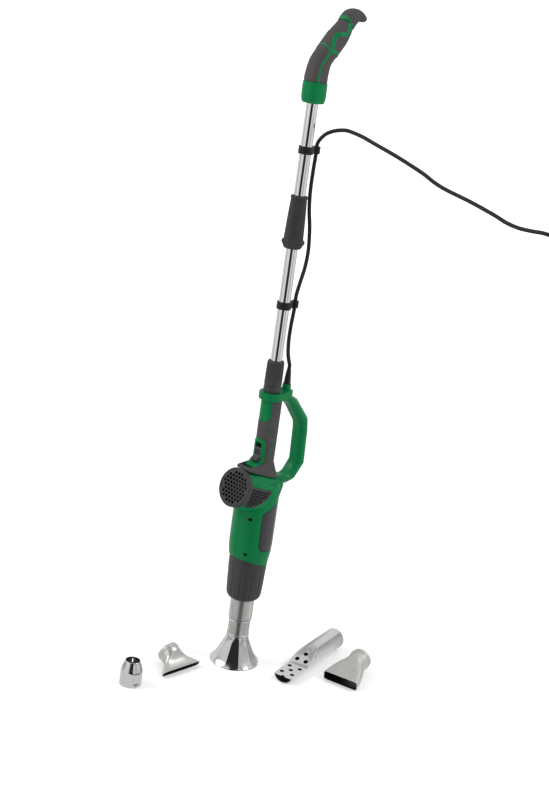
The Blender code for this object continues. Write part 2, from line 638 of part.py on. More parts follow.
motor_radius = 0.0175
motor_low, motor_high = head_height - 0.0680, head_height - 0.0280
mount_low, mount_high = motor_low + 0.0220, motor_low + 0.0280
inside = barrel_radius - wall
turned("motor", [(0.0050, motor_low - 0.0016), (0.0050, motor_low), (motor_radius, motor_low + 0.001),
                 (motor_radius, motor_high - 0.002), (motor_radius - 0.002, motor_high)], steel)
mount = pipe("motor_mount", inside - gap, inside - 0.0030, mount_low, mount_high, black)
boolean(mount, guide(pipe("mount seat", motor_radius + 0.0030, motor_radius + gap, mount_low, mount_high, black)), "UNION")
for k in range(3):
    angle = math.radians(30 + 120 * k)
    across, along = Vector((-math.sin(angle), math.cos(angle))), Vector((math.cos(angle), math.sin(angle)))
    spoke = [tuple(along * r + across * w) for r, w in ((0.0195, -0.002), (0.0322, -0.002), (0.0322, 0.002),
                                                        (0.0195, 0.002))]
    boolean(mount, guide(prism(f"spoke {k}", spoke, mount_low + 0.0005, mount_high - 0.0005, "z", black)), "UNION")

fan_blades = 7
fan_radius = 0.0275
shaft_radius = 0.0016
blades = []
for k in range(fan_blades * 4):
    a = 2 * math.pi * k / (fan_blades * 4)
    r = fan_radius if k % 4 == 0 else fan_radius - 0.0012 if k % 4 == 1 else 0.0095
    twist = a + (0.20 if k % 4 < 2 else 0.0)
    blades.append((r * math.cos(twist), r * math.sin(twist)))
fan_low = motor_low - 0.0250
fan = prism("fan_impeller", blades, fan_low, fan_low + 0.0120, "z", black)
boolean(fan, guide(turned("fan disc", [(fan_radius, fan_low + 0.0115), (fan_radius, fan_low + 0.0135),
                                       (0.0070, fan_low + 0.0135), (0.0060, fan_low + 0.0190)], black)), "UNION")
boolean(fan, guide(turned("fan bore", [(shaft_radius + 0.0001, fan_low - 0.03), (shaft_radius + 0.0001, motor_low)], black,
                          steps=12)), "DIFFERENCE")
turned("fan_shaft", [(shaft_radius, fan_low - 0.0020), (shaft_radius, motor_low - 0.0016 - gap)], steel, steps=12)
block("control_board", (-0.0130, 0.0130), (0.0288, 0.0304), (head_height - 0.0360, head_height - 0.0180), board)

# ---------------------------------------------------------------- pole
socket_top = collar_face + 0.030
tube_seat = tube_radius + gap
turned("pole_socket", [
    (socket_radius, socket_bottom), (socket_radius, socket_top), (tube_seat, socket_top), (tube_seat, socket_bottom + 0.002),
    (tube_radius - tube_wall, socket_bottom + 0.002), (tube_radius - tube_wall, socket_bottom)], black, True)
nut_low = collar_face + gap
nut_high = nut_low + nut_length
turned("lock_nut", [
    (nut_radius, nut_low), (nut_radius, nut_low + 0.0095), (nut_radius - 0.0012, nut_low + 0.0100),
    (nut_radius - 0.0012, nut_low + 0.0118), (nut_radius, nut_low + 0.0124), (nut_radius - 0.0006, nut_high - 0.0020),
    (nut_radius - 0.0020, nut_high), (tube_seat, nut_high), (tube_seat, socket_top + gap),
    (socket_radius + gap, socket_top + gap), (socket_radius + gap, nut_low)], black, True)
pipe("lower_tube", tube_radius, tube_radius - tube_wall, socket_bottom + 0.002 + gap, joint_height - gap / 2, chrome)
tube_end = handle_bottom + 0.0300
pipe("upper_tube", tube_radius, tube_radius - tube_wall, joint_height + gap / 2, tube_end, chrome)
spigot = tube_radius - tube_wall - gap
pipe("tube_joiner", spigot, spigot - tube_wall, joint_height - 0.035, joint_height + 0.035, steel, steps=20)

sleeve = [(sleeve_radius_foot - 0.0015, sleeve_bottom), (sleeve_radius_foot, sleeve_bottom + 0.002)]
rib_step = (sleeve_top - sleeve_bottom - 0.008) / sleeve_ribs
for k in range(sleeve_ribs):
    low = sleeve_bottom + 0.004 + k * rib_step
    share = (k + 0.5) / sleeve_ribs
    r = sleeve_radius_foot + (sleeve_radius_top - sleeve_radius_foot) * min(1.0, share * 1.25) ** 0.7
    sleeve += [(r, low), (r, low + rib_step * 0.68), (r - 0.0011, low + rib_step * 0.80)]
sleeve += [(sleeve_radius_top, sleeve_top - 0.004), (sleeve_radius_top - 0.001, sleeve_top),
           (tube_seat, sleeve_top), (tube_seat, sleeve_bottom)]
turned("mid_grip_sleeve", sleeve, dark, True, steps=14)

cord_back = (0.0256, 0.0244)  # the cord's middle behind the pole, in the lower and the upper clip
for name, height, back in zip(("clip_lower", "clip_upper"), clip_heights, cord_back):
    low, high = height - clip_length / 2, height + clip_length / 2
    room = cord_radius + 2 * gap
    hook = room + clip_wall
    clip = turned(name, [(tube_seat + clip_wall, low), (tube_seat + clip_wall, high)], black, steps=16)
    boolean(clip, guide(block(f"{name} arm", (-0.0024, 0.0024), (tube_radius, back - cord_radius), (low, high),
                              black)), "UNION")
    boolean(clip, guide(turned(f"{name} hook", [(hook, low), (hook, high)], black, centre=(0, back), steps=12)), "UNION")
    boolean(clip, guide(turned(f"{name} bore", [(tube_seat, low - 0.01), (tube_seat, high + 0.01)], black,
                               steps=16)), "DIFFERENCE")
    boolean(clip, guide(turned(f"{name} cord bore", [(room, low - 0.01), (room, high + 0.01)],
                               black, centre=(0, back), steps=12)), "DIFFERENCE")
    boolean(clip, guide(block(f"{name} mouth", (-0.0016, 0.0016), (back, back + 0.02), (low - 0.01, high + 0.01),
                              black)), "DIFFERENCE")

# ---------------------------------------------------------------- top handle
# middle of each section as (Y, Z), its lean in degrees, half its depth and half its width
handle_sections = [
    (0.0005, handle_bottom, 0, 0.0180, 0.0165), (0.0002, handle_bottom + 0.0025, 0, 0.0190, 0.0175),
    (-0.0002, handle_bottom + 0.0250, 2, 0.0190, 0.0176), (0.0005, 1.0000, 6, 0.0180, 0.0172),
    (0.0050, 1.0190, 20, 0.0168, 0.0170), (0.0120, 1.0290, 30, 0.0165, 0.0170), (0.0215, 1.0400, 34, 0.0168, 0.0172),
    (0.0355, 1.0568, 36, 0.0168, 0.0168), (0.0440, 1.0680, 36, 0.0150, 0.0155), (0.0500, 1.0768, 38, 0.0126, 0.0140)]
cap_sections = [(0.0502, 1.0771, 38, 0.0128, 0.0142), (0.0550, 1.0840, 46, 0.0126, 0.0145), (0.0610, 1.0895, 62, 0.0122, 0.0140),
                (0.0710, 1.0925, 88, 0.0098, 0.0125), (0.0820, 1.0898, 102, 0.0075, 0.0105), (0.0868, 1.0884, 104, 0.0045, 0.0070)]


def handle_ring(section, shrink=0.0, steps=18):
    y, z, lean, deep, wide = section
    lean = math.radians(lean)
    across = Vector((0, math.cos(lean), -math.sin(lean)))
    ring = []
    for k in range(steps):
        a = 2 * math.pi * k / steps
        c, s = math.cos(a), math.sin(a)
        bulge = (abs(c) ** 2.4 + abs(s) ** 2.4) ** (-1 / 2.4)
        ring.append(Vector(((wide - shrink) * bulge * c, y, z)) + across * (deep - shrink) * bulge * s)
    return ring


soft = 0.0022                 # thickness of the soft layer on the top handle
core_sections = [s for s in handle_sections if s[1] > handle_collar_top]
collar_sections = [s for s in handle_sections if s[1] < handle_collar_top]
shoulder = (0.0000, handle_collar_top, 3, 0.0187, 0.0175)
core = skinned("handle_core", [handle_ring(s) for s in (*collar_sections, shoulder)]
               + [handle_ring(s, soft + gap) for s in (shoulder, *core_sections)], green)
boolean(core, guide(turned("handle bore", [(tube_seat, handle_bottom - 0.01), (tube_seat, tube_end + gap)], green,
                           steps=28)), "DIFFERENCE")
skirt_start = (0.0001, handle_collar_top + gap, 3, 0.0187, 0.0175)
skinned("handle_grip", [handle_ring(s) for s in (skirt_start, *core_sections)]
        + [handle_ring(s, soft) for s in reversed((skirt_start, *core_sections))], dark, closed=True)
lean_up = Vector((0, math.sin(math.radians(38)), math.cos(math.radians(38)))) * gap
cap = skinned("handle_end_cap", [[p + lean_up for p in handle_ring(s)] for s in cap_sections], black)


# ---------------------------------------------------------------- nozzles
def bell_ring(radius, height, flute):
    steps = bell_flutes * 3
    return [((radius + flute * math.cos(bell_flutes * a)) * math.cos(a),
             (radius + flute * math.cos(bell_flutes * a)) * math.sin(a), height)
            for a in (2 * math.pi * k / steps for k in range(steps))]


collar_inner = spigot_radius + gap
bell = [(collar_inner, collar_top, 0), (collar_inner, bell_height + 0.0030, 0), (collar_inner + 0.0008, bell_height + 0.0005, 0),
        (0.0186, bell_height - 0.0080, 0.0006), (0.0216, 0.0270, 0.0014),
        (0.0276, 0.0160, 0.0021), (0.0346, 0.0070, 0.0026), (bell_radius - bell_flute_depth - sheet, 0, bell_flute_depth)]
skinned("bell_nozzle", [bell_ring(r + sheet, z, f) for r, z, f in bell]
        + [bell_ring(r, z, f) for r, z, f in reversed(bell)], steel, closed=True, crease=50)


def lying(obj, place, heading, lean=0.0, lift=0.0):
    """puts a nozzle that was modelled mouth down on its side, its collar towards the heading"""
    turn = Matrix.Rotation(heading, 4, "Z") @ Matrix.Rotation(math.pi / 2 - lean, 4, "Y")
    obj.data.transform(Matrix.Translation((place[0], place[1], lift)) @ turn)
    return obj


# reducer, standing on its collar
reducer_at = (-0.0310, -0.2090)
outer = [(collar_inner, 0), (collar_inner, 0.0250), (0.0112, 0.0420)]
reducer = turned("reducer_nozzle", [(r + sheet, z) for r, z in outer] + [(r, z) for r, z in reversed(outer)], steel, True,
                 centre=reducer_at)
for k in range(4):
    angle = math.radians(-48 + 90 * k)
    out = Vector((math.cos(angle), math.sin(angle)))
    side = Vector((-out.y, out.x))
    corners = [Vector(reducer_at) + out * r + side * w for r, w in ((0.006, -0.0012), (0.024, -0.0012), (0.024, 0.0012), (0.006, 0.0012))]
    boolean(reducer, guide(prism(f"reducer slit {k}", corners, 0.0310, 0.0500, "z", steel)), "DIFFERENCE")


def flat_ring(along, half_a, half_b, power, middle=0.0, steps=20):
    """a rounded section across the nozzle's axis, half_a wide and half_b thick"""
    ring = []
    for k in range(steps):
        a = 2 * math.pi * k / steps
        c, s = math.cos(a), math.sin(a)
        bulge = (abs(c) ** power + abs(s) ** power) ** (-1 / power)
        ring.append(Vector((middle + half_b * bulge * c, half_a * bulge * s, along)))
    return ring


def flared(name, stations):
    """a nozzle of sheet steel through (distance from the mouth, half width, half thickness, squareness)"""
    return skinned(name, [flat_ring(z, a, b, p) for z, a, b, p in stations]
                   + [flat_ring(z, a - sheet, b - sheet, p) for z, a, b, p in reversed(stations)], steel, closed=True)


collar_outer = collar_inner + sheet
# fishtail nozzle, lying on its wide mouth and the foot of its collar
fish_length, fish_half, fish_thick = 0.0430, 0.0415, 0.0055
fish_lean = math.atan((collar_outer - fish_thick) / 0.0270)
lying(flared("fishtail_nozzle", [(0, fish_half, fish_thick, 6), (0.0060, 0.0375, 0.0056, 5), (0.0160, 0.0270, 0.0080, 3),
      (0.0240, 0.0200, 0.0150, 2.2), (0.0270, collar_outer, collar_outer, 2), (fish_length, collar_outer, collar_outer, 2)]),
      (-0.0155, -0.1105), math.pi, fish_lean, fish_thick * math.cos(fish_lean) + 0.0004)

# wide flat nozzle, lying the same way
flat_length, flat_half, flat_thick = 0.0770, 0.0315, 0.0082
flat_lean = math.atan((collar_outer - flat_thick) / 0.0530)
lying(flared("flat_nozzle", [(0, flat_half, flat_thick, 9), (0.0080, 0.0308, 0.0088, 8), (0.0400, 0.0230, 0.0150, 3),
      (0.0520, collar_outer + 0.0004, collar_outer, 2.1), (0.0560, collar_outer, collar_outer, 2),
      (flat_length, collar_outer, collar_outer, 2)]),
      (0.1630, 0.0930), math.radians(104), flat_lean, flat_thick * math.cos(flat_lean) + 0.0004)

# lighter nozzle: a tube whose end is pressed flat on top, with holes, lying on the ground
lighter_length = 0.1810
lighter_tip = (0.1030, 0.0130)
lighter_heading = math.radians(13.4)      # turned this far from +Y towards -X
lighter_hole = 0.0066
shovel_lip, shovel_flat, shovel_end = 0.0122, (0.0500, 0.0134), 0.1050


def tube_on_ground(name, shrink, over):
    """a round bar along +Y, standing on the ground, whose top is cut away towards the tip"""
    bar = skinned(name, [[((collar_outer - shrink) * math.cos(a), y, collar_outer + (collar_outer - shrink) * math.sin(a))
                  for a in (2 * math.pi * k / round_steps for k in range(round_steps))]
                  for y in (-over, lighter_length + over)], steel)
    top = 2 * collar_outer + 0.001
    away = [(-0.02, shovel_lip - shrink), (0, shovel_lip - shrink), (shovel_flat[0], shovel_flat[1] - shrink),
            (shovel_end, top - shrink), (shovel_end, 0.06), (-0.02, 0.06)]
    return boolean(bar, prism(f"{name} top", away, -0.03, 0.03, "x", steel), "DIFFERENCE")


lighter = tube_on_ground("lighter_nozzle", 0, 0)
boolean(lighter, guide(settled(guide(tube_on_ground("lighter inside bar", sheet, 0.01)), "lighter inside", steel)),
        "DIFFERENCE")
flat_holes = [(-0.0100, 0.0400), (0.0100, 0.0400), (0, 0.0270), (-0.0100, 0.0140), (0.0100, 0.0140)]
slant_holes = [(-0.0085, 0.0620), (0.0085, 0.0620), (0, 0.0760)]
punches = [turned("punch", [(lighter_hole / 2, 0.0060), (lighter_hole / 2, 0.0450)], steel, centre=at, steps=8)
           for at in flat_holes + slant_holes]
boolean(lighter, joined("lighter holes", punches, steel), "DIFFERENCE")
lighter_frame = bpy.data.objects.new("lighter place", None)
bpy.context.collection.objects.link(lighter_frame)
lighter_frame.parent = tool
lighter_frame.location = (*lighter_tip, 0)
lighter_frame.rotation_euler = (0, 0, lighter_heading)
for obj in bpy.data.objects:
    if obj.name.startswith("lighter") and obj is not lighter_frame:
        obj.parent = lighter_frame

# ---------------------------------------------------------------- cord, with its strain relief, coil, tie and plug
relief_low = collar_face - 0.0080
relief_at = (0, gland_back)
stub_top = collar_face + gland_height
for side in ("left", "right"):
    boolean(bpy.data.objects[f"housing_{side}"], guide(turned(f"relief seat {side}", [
        (0.0046 + gap, relief_low - gap), (0.0046 + gap, stub_top + 0.01)], green, centre=relief_at, steps=12)), "DIFFERENCE")
relief_top = stub_top + relief_length
rings = [(0.0046, relief_low), (0.0046, stub_top + gap), (0.0060, stub_top + gap)]
for k in range(4):
    low = stub_top + 0.0015 + k * 0.0052
    r = 0.0060 - k * 0.0004
    rings += [(r, low), (r - 0.0003, low + 0.0032), (r - 0.0012, low + 0.0036)]
rings += [(cord_radius + 0.0008, relief_top)]
turned("strain_relief", rings, black, centre=relief_at, steps=12)

lift = 0.0016                 # the tie's strap runs under the coil
layer_gap = 0.0070            # between the middles of the coil's two layers
start_angle = math.radians(100)
layer_one, climb, layer_two = math.radians(360 * coil_turns), math.pi, math.radians(640)
inner_turn = coil_radius - coil_pitch * coil_turns / 2


def coil_point(sweep):
    """the cord's middle after a sweep round the coil, clockwise from above: in, up a layer, and out again"""
    low, high = lift + cord_radius, lift + cord_radius + layer_gap
    if sweep <= layer_one:
        r, z = inner_turn + coil_pitch * (layer_one - sweep) / (2 * math.pi), low
    elif sweep <= layer_one + climb:
        share = (sweep - layer_one) / climb
        r = inner_turn - coil_pitch * share / 2 * (1 - share)
        z = low + (high - low) * share * share * (3 - 2 * share)
    else:
        r, z = inner_turn + coil_pitch * (sweep - layer_one - climb) / (2 * math.pi), high
    a = start_angle - sweep
    return Vector((coil_centre[0] + r * math.cos(a), coil_centre[1] + r * math.sin(a), z))


def least_gap(points):
    """the least distance between turns, less the cord's diameter"""
    p = np.array(points)
    apart = int(coil_points * 0.4)
    return min(float(np.linalg.norm(p[i + apart:] - p[i], axis=1).min()) for i in range(len(p) - apart)) - cord_diameter


whole_sweep = layer_one + climb + layer_two
steps = round(whole_sweep / (2 * math.pi) * coil_points)
turns = [coil_point(whole_sweep * k / steps) for k in range(steps + 1)]
entry = (turns[1] - turns[0]).normalized()
leave = (turns[-1] - turns[-2]).normalized()
entry.z = leave.z = 0
turns = [turns[0] - entry * cord_diameter, *turns, turns[-1] + leave * cord_diameter]
cord("cord_coil", turns, resolution=1)
print(f"least gap of the coil to itself: {least_gap(turns[1:-1]) * 1000:.2f} mm")

cord_exit = (0, gland_back, relief_top + gap)
cord_run = [
    cord_exit, (0, 0.0338, 0.5290), (0, 0.0300, 0.5380), (0, 0.0258, 0.5520), (0, 0.0232, 0.5740), (0, 0.0236, 0.5980),
    (0, 0.0250, 0.6140), (0, 0.0256, 0.6240), (0, 0.0256, 0.6330), (0, 0.0256, 0.6430), (0, 0.0262, 0.6500),
    (0, 0.0305, 0.6680), (0, 0.0370, 0.6930), (0, 0.0392, 0.7214), (0, 0.0350, 0.7560), (0, 0.0275, 0.7880), (0, 0.0238, 0.8180),
    (0, 0.0236, 0.8500), (0, 0.0244, 0.8730), (0, 0.0244, 0.8830), (0, 0.0244, 0.8925), (0.0029, 0.0268, 0.9009),
    (0.0093, 0.0316, 0.9100), (0.0216, 0.0363, 0.9168), (0.0365, 0.0399, 0.9205), (0.0471, 0.0425, 0.9206),
    (0.0683, 0.0476, 0.9167), (0.0898, 0.0527, 0.9102), (0.1327, 0.0626, 0.8971), (0.1756, 0.0721, 0.8819),
    (0.1973, 0.0768, 0.8720), (0.2185, 0.0813, 0.8649), (0.2597, 0.0897, 0.8555), (0.3009, 0.0977, 0.8442),
    (0.3215, 0.1015, 0.8374), (0.3415, 0.1052, 0.8339), (0.3605, 0.1088, 0.8337), (0.3863, 0.1164, 0.8340),
    (0.4120, 0.1290, 0.8260), (0.4380, 0.1450, 0.8060), (0.4600, 0.1640, 0.7650), (0.4720, 0.1830, 0.7000),
    (0.4770, 0.1990, 0.6000), (0.4780, 0.2110, 0.5000), (0.4785, 0.2210, 0.4000), (0.4795, 0.2300, 0.3000),
    (0.4820, 0.2370, 0.2000), (0.4880, 0.2420, 0.1200), (0.4990, 0.2445, 0.0600), (0.5160, 0.2450, 0.0230),
    (0.5380, 0.2440, 0.0060), (0.5600, 0.2435, 0.0036), (0.5740, 0.2438, 0.0040)]
run_end = turns[0] - entry * 2 * gap
in_clips = [i for i, p in enumerate(cord_run) if min(abs(p[2] - height) for height in clip_heights) < clip_length]
cord("cord_run", smooth_curve([*cord_run, run_end - entry * cord_diameter, run_end], 52, [*in_clips, len(cord_run)]))

# the plug lies on the coil, its cord's end lower than its face
plug_rear = Vector((0.5780, 0.1500, 0.0200))
plug_tilt = math.radians(14.7)
plug_turn = Matrix.Translation(plug_rear) @ Matrix.Rotation(plug_tilt - math.pi / 2, 4, "X")
plug = turned("plug_body", [(0.0042, 0), (0.0050, 0.0030), (0.0054, 0.0180), (0.0090, 0.0215), (0.0122, 0.0290),
              (0.0132, 0.0430), (0.0180, 0.0485), (0.0185, 0.0510), (0.0185, 0.0575), (0.0175, 0.0600)], rubber, steps=16)
plug.data.transform(plug_turn)
for k, sign in ((1, -1), (2, 1)):
    pin = turned(f"plug_pin_{k}", [(0.0024, 0.0600 + gap), (0.0024, 0.0775), (0.0015, 0.0790)], steel,
                 centre=(0.0095 * sign, 0), steps=8)
    pin.data.transform(plug_turn)
into_plug = (plug_turn.to_3x3() @ Vector((0, 0, 1))).normalized()
tail_start = turns[-1] + leave * 2 * gap
tail_end = plug_rear - into_plug * 2 * gap
cord_tail = [tail_start, tail_start + leave * cord_diameter, (0.6400, 0.1720, 0.0105), (0.6310, 0.1500, 0.0060),
             (0.6150, 0.1345, 0.0040), (0.5970, 0.1285, 0.0065), (0.5830, 0.1330, 0.0125),
             tail_end - into_plug * cord_diameter, tail_end]
cord("cord_tail", smooth_curve(cord_tail, 15, (1, len(cord_tail) - 2)))

tie_angle, tie_wall, tie_width = math.radians(60), 0.0010, 0.0060
tie_in = inner_turn - coil_pitch / 8 - cord_radius - gap
tie_out = coil_radius + coil_pitch + cord_radius + gap
strap = [(tie_in - tie_wall, 0.0003), (tie_out + tie_wall, 0.0003), (tie_out + tie_wall, lift + 2 * cord_radius + layer_gap + gap + tie_wall),
         (tie_in - tie_wall, lift + 2 * cord_radius + layer_gap + gap + tie_wall)]
tie = prism("coil_tie", strap, -tie_width / 2, tie_width / 2, "y", black)
boolean(tie, guide(prism("tie room", [(tie_in, 0.0003 + tie_wall), (tie_out, 0.0003 + tie_wall),
        (tie_out, lift + 2 * cord_radius + layer_gap + gap), (tie_in, lift + 2 * cord_radius + layer_gap + gap)],
        -0.02, 0.02, "y", black)), "DIFFERENCE")
for obj in (tie, bpy.data.objects["tie room"]):
    obj.data.transform(Matrix.Translation((*coil_centre, 0)) @ Matrix.Rotation(tie_angle, 4, "Z"))

# ---------------------------------------------------------------- the origin, under the middle of the gun and its nozzles
cord_pieces = {"cord_run", "cord_coil", "cord_tail", "coil_tie", "plug_body", "plug_pin_1", "plug_pin_2"}
bpy.context.view_layer.update()
depsgraph = bpy.context.evaluated_depsgraph_get()
corners = [obj.matrix_world @ Vector(corner) for obj in bpy.data.objects
           if obj.type == "MESH" and not obj.hide_render and obj.name not in cord_pieces
           for corner in obj.evaluated_get(depsgraph).bound_box]
low, high = np.min(corners, axis=0), np.max(corners, axis=0)
tool.location = (-(low[0] + high[0]) / 2, -(low[1] + high[1]) / 2, 0)
print("axis of the gun at", [round(v, 5) for v in tool.location])
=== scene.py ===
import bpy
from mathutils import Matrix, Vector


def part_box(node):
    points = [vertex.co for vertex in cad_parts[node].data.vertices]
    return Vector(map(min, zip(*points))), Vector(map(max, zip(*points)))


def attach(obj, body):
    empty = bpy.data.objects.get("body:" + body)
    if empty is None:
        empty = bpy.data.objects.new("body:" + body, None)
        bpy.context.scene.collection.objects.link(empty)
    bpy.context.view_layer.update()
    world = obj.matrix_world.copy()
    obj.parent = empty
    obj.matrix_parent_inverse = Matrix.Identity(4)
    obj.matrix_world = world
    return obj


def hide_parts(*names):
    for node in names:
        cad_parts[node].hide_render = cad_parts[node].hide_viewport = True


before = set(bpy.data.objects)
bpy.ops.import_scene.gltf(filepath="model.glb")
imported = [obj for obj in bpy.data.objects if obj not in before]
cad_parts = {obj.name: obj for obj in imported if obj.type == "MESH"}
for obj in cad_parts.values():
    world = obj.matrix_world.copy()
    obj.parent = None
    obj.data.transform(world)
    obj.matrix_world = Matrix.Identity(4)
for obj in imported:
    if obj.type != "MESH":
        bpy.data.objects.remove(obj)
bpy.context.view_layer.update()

import math
import bpy
import numpy as np
from mathutils import Matrix, Vector

gap = 0.0003    # between pieces that touch
sharpFrom = 38  # degrees between two faces, from where their edge stays sharp

# the gun's own axis, which every shape below is measured from
tubeLow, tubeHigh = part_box("lower_tube")
gunAxis = np.array([(tubeLow[0] + tubeHigh[0]) / 2, (tubeLow[1] + tubeHigh[1]) / 2, 0.0])
print("gun axis at", gunAxis.round(5))


# ---- small tools

def linear(hexColour):
    # sRGB hex to the linear values that a shader takes
    values = []
    for start in (1, 3, 5):
        part = int(hexColour[start:start + 2], 16) / 255
        values.append(part / 12.92 if part <= 0.04045 else ((part + 0.055) / 1.055) ** 2.4)
    return (*values, 1.0)


def addNode(tree, kind, inputs=None, **settings):
    # one node, with its settings, and each input either a value or a link
    made = tree.nodes.new(kind)
    for key, value in settings.items():
        setattr(made, key, value)
    for key, value in (inputs or {}).items():
        if isinstance(value, bpy.types.NodeSocket):
            tree.links.new(value, made.inputs[key])
        else:
            made.inputs[key].default_value = value
    return made


def newObject(name, data):
    made = bpy.data.objects.new(name, data)
    bpy.context.collection.objects.link(made)
    return made


def newMaterial(name):
    made = bpy.data.materials.new(name)
    made.use_nodes = True
    made.node_tree.nodes.clear()
    return made, made.node_tree


def showSurface(tree, shader):
    addNode(tree, "ShaderNodeOutputMaterial", {"Surface": shader.outputs[0]})


def mouldedMaterial(name, look):
    # a moulded plastic or rubber: two close colours in slow patches, a fine grain, and roughness that
    # drifts with the patches
    made, tree = newMaterial(name)
    where = addNode(tree, "ShaderNodeTexCoord").outputs["Object"]
    patches = addNode(tree, "ShaderNodeTexNoise", {"Vector": where, "Scale": 1000 / look["patchMm"],
                                                   "Detail": 3.0})
    grain = addNode(tree, "ShaderNodeTexNoise", {"Vector": where, "Scale": 1000 / look["grainMm"],
                                                 "Detail": 2.0})
    colour = addNode(tree, "ShaderNodeMix", {0: patches.outputs[0], 6: linear(look["colour"]),
                                             7: linear(look["second"])}, data_type="RGBA")
    rough = addNode(tree, "ShaderNodeMapRange", {0: patches.outputs[0], 3: look["roughness"] - 0.04,
                                                 4: look["roughness"] + 0.05})
    bump = addNode(tree, "ShaderNodeBump", {"Strength": look["grainStrength"],
                                            "Distance": look["grainMm"] / 4000, "Height": grain.outputs[0]})
    shader = addNode(tree, "ShaderNodeBsdfPrincipled", {"Base Color": colour.outputs[2],
                                                        "Roughness": rough.outputs[0],
                                                        "Normal": bump.outputs[0], "IOR": look["ior"],
                                                        "Specular IOR Level": look["gloss"]})
    showSurface(tree, shader)
    return made


def metalMaterial(name, look):
    # a metal whose drawing or pressing leaves faint lines along its length
    made, tree = newMaterial(name)
    where = addNode(tree, "ShaderNodeTexCoord").outputs["Object"]
    drawn = addNode(tree, "ShaderNodeMapping", {"Vector": where, "Scale": look["lineScale"]})
    lines = addNode(tree, "ShaderNodeTexNoise", {"Vector": drawn.outputs[0], "Scale": 1000 / look["lineMm"],
                                                 "Detail": 3.0})
    smears = addNode(tree, "ShaderNodeTexNoise", {"Vector": where, "Scale": 1000 / look["smearMm"],
                                                  "Detail": 2.0})
    colour = addNode(tree, "ShaderNodeMix", {0: smears.outputs[0], 6: linear(look["colour"]),
                                             7: linear(look["second"])}, data_type="RGBA")
    rough = addNode(tree, "ShaderNodeMapRange", {0: smears.outputs[0], 3: look["roughness"] * 0.75,
                                                 4: look["roughness"] * 1.35})
    bump = addNode(tree, "ShaderNodeBump", {"Strength": look["lineStrength"], "Distance": 0.00005,
                                            "Height": lines.outputs[0]})
    shader = addNode(tree, "ShaderNodeBsdfPrincipled", {"Base Color": colour.outputs[2],
                                                        "Roughness": rough.outputs[0],
                                                        "Normal": bump.outputs[0], "Metallic": 1.0})
    showSurface(tree, shader)
    return made


# ABS, moulded with a light spark-eroded texture: a clear green with a soft sheen
greenAbs = mouldedMaterial("green moulded ABS", {
    "colour": "#00703e", "second": "#006a3a", "patchMm": 40, "grainMm": 0.9, "grainStrength": 0.25,
    "roughness": 0.34, "ior": 1.54, "gloss": 0.1})
# thermoplastic elastomer over-moulded on the handles: warm dark grey, dull, slightly rubbery
softTpe = mouldedMaterial("over-moulded soft TPE", {
    "colour": "#4b4749", "second": "#413d3e", "patchMm": 25, "grainMm": 0.8, "grainStrength": 0.5,
    "roughness": 0.66, "ior": 1.48, "gloss": 0.15})
# a harder grade of it on the middle of the pole, darker and dull
ribbedTpe = mouldedMaterial("ribbed TPE sleeve", {
    "colour": "#39383a", "second": "#2f2e30", "patchMm": 12, "grainMm": 0.9, "grainStrength": 0.6,
    "roughness": 0.6, "ior": 1.48, "gloss": 0.15})
# glass-filled nylon of the nose, the intake and the nut: nearly black with a low sheen
blackNylon = mouldedMaterial("glass-filled black nylon", {
    "colour": "#3a393b", "second": "#313032", "patchMm": 18, "grainMm": 0.7, "grainStrength": 0.4,
    "roughness": 0.5, "ior": 1.53, "gloss": 0.25})
# the same elastomer on the barrel's back, moulded smooth: darker and glossier than the grips
padTpe = mouldedMaterial("smooth black TPE pad", {
    "colour": "#343236", "second": "#2c2a2e", "patchMm": 30, "grainMm": 1.5, "grainStrength": 0.12,
    "roughness": 0.3, "ior": 1.5, "gloss": 0.35})
# acetal of the cord clips: plain black
clipAcetal = mouldedMaterial("black acetal", {
    "colour": "#1f1f20", "second": "#19191a", "patchMm": 15, "grainMm": 0.8, "grainStrength": 0.2,
    "roughness": 0.42, "ior": 1.48, "gloss": 0.2})
# plasticised PVC of the lead and its plug: black with a faint waxy shine
cordPvc = mouldedMaterial("black PVC lead", {
    "colour": "#18191d", "second": "#1f2024", "patchMm": 60, "grainMm": 1.2, "grainStrength": 0.15,
    "roughness": 0.42, "ior": 1.53, "gloss": 0.25})


def linedMaterial(name, dark, green):
    # two moulded plastics in one skin: the attribute greenLine says where the green core comes through the
    # soft layer
    made, tree = newMaterial(name)
    where = addNode(tree, "ShaderNodeTexCoord").outputs["Object"]
    line = addNode(tree, "ShaderNodeAttribute", attribute_name="greenLine")
    share = addNode(tree, "ShaderNodeMapRange", {0: line.outputs["Fac"], 1: 0.35, 2: 0.65})
    patches = addNode(tree, "ShaderNodeTexNoise", {"Vector": where, "Scale": 1000 / 25, "Detail": 3.0})
    grain = addNode(tree, "ShaderNodeTexNoise", {"Vector": where, "Scale": 1000 / 0.8, "Detail": 2.0})
    soft = addNode(tree, "ShaderNodeMix", {0: patches.outputs[0], 6: linear(dark[0]), 7: linear(dark[1])},
                   data_type="RGBA")
    hard = addNode(tree, "ShaderNodeMix", {0: patches.outputs[0], 6: linear(green[0]), 7: linear(green[1])},
                   data_type="RGBA")
    colour = addNode(tree, "ShaderNodeMix", {0: share.outputs[0], 6: soft.outputs[2], 7: hard.outputs[2]},
                     data_type="RGBA")
    rough = addNode(tree, "ShaderNodeMapRange", {0: share.outputs[0], 3: 0.62, 4: 0.38})
    bump = addNode(tree, "ShaderNodeBump", {"Strength": 0.45, "Distance": 0.0002, "Height": grain.outputs[0]})
    shader = addNode(tree, "ShaderNodeBsdfPrincipled", {"Base Color": colour.outputs[2],
                                                        "Roughness": rough.outputs[0],
                                                        "Normal": bump.outputs[0], "IOR": 1.5,
                                                        "Specular IOR Level": 0.15})
    showSurface(tree, shader)
    return made


# the top handle's skin: TPE moulded round a green ABS core that shows as lines
lineTpe = linedMaterial("TPE over green ABS", ("#4b4749", "#413d3e"), ("#00703e", "#006a3a"))
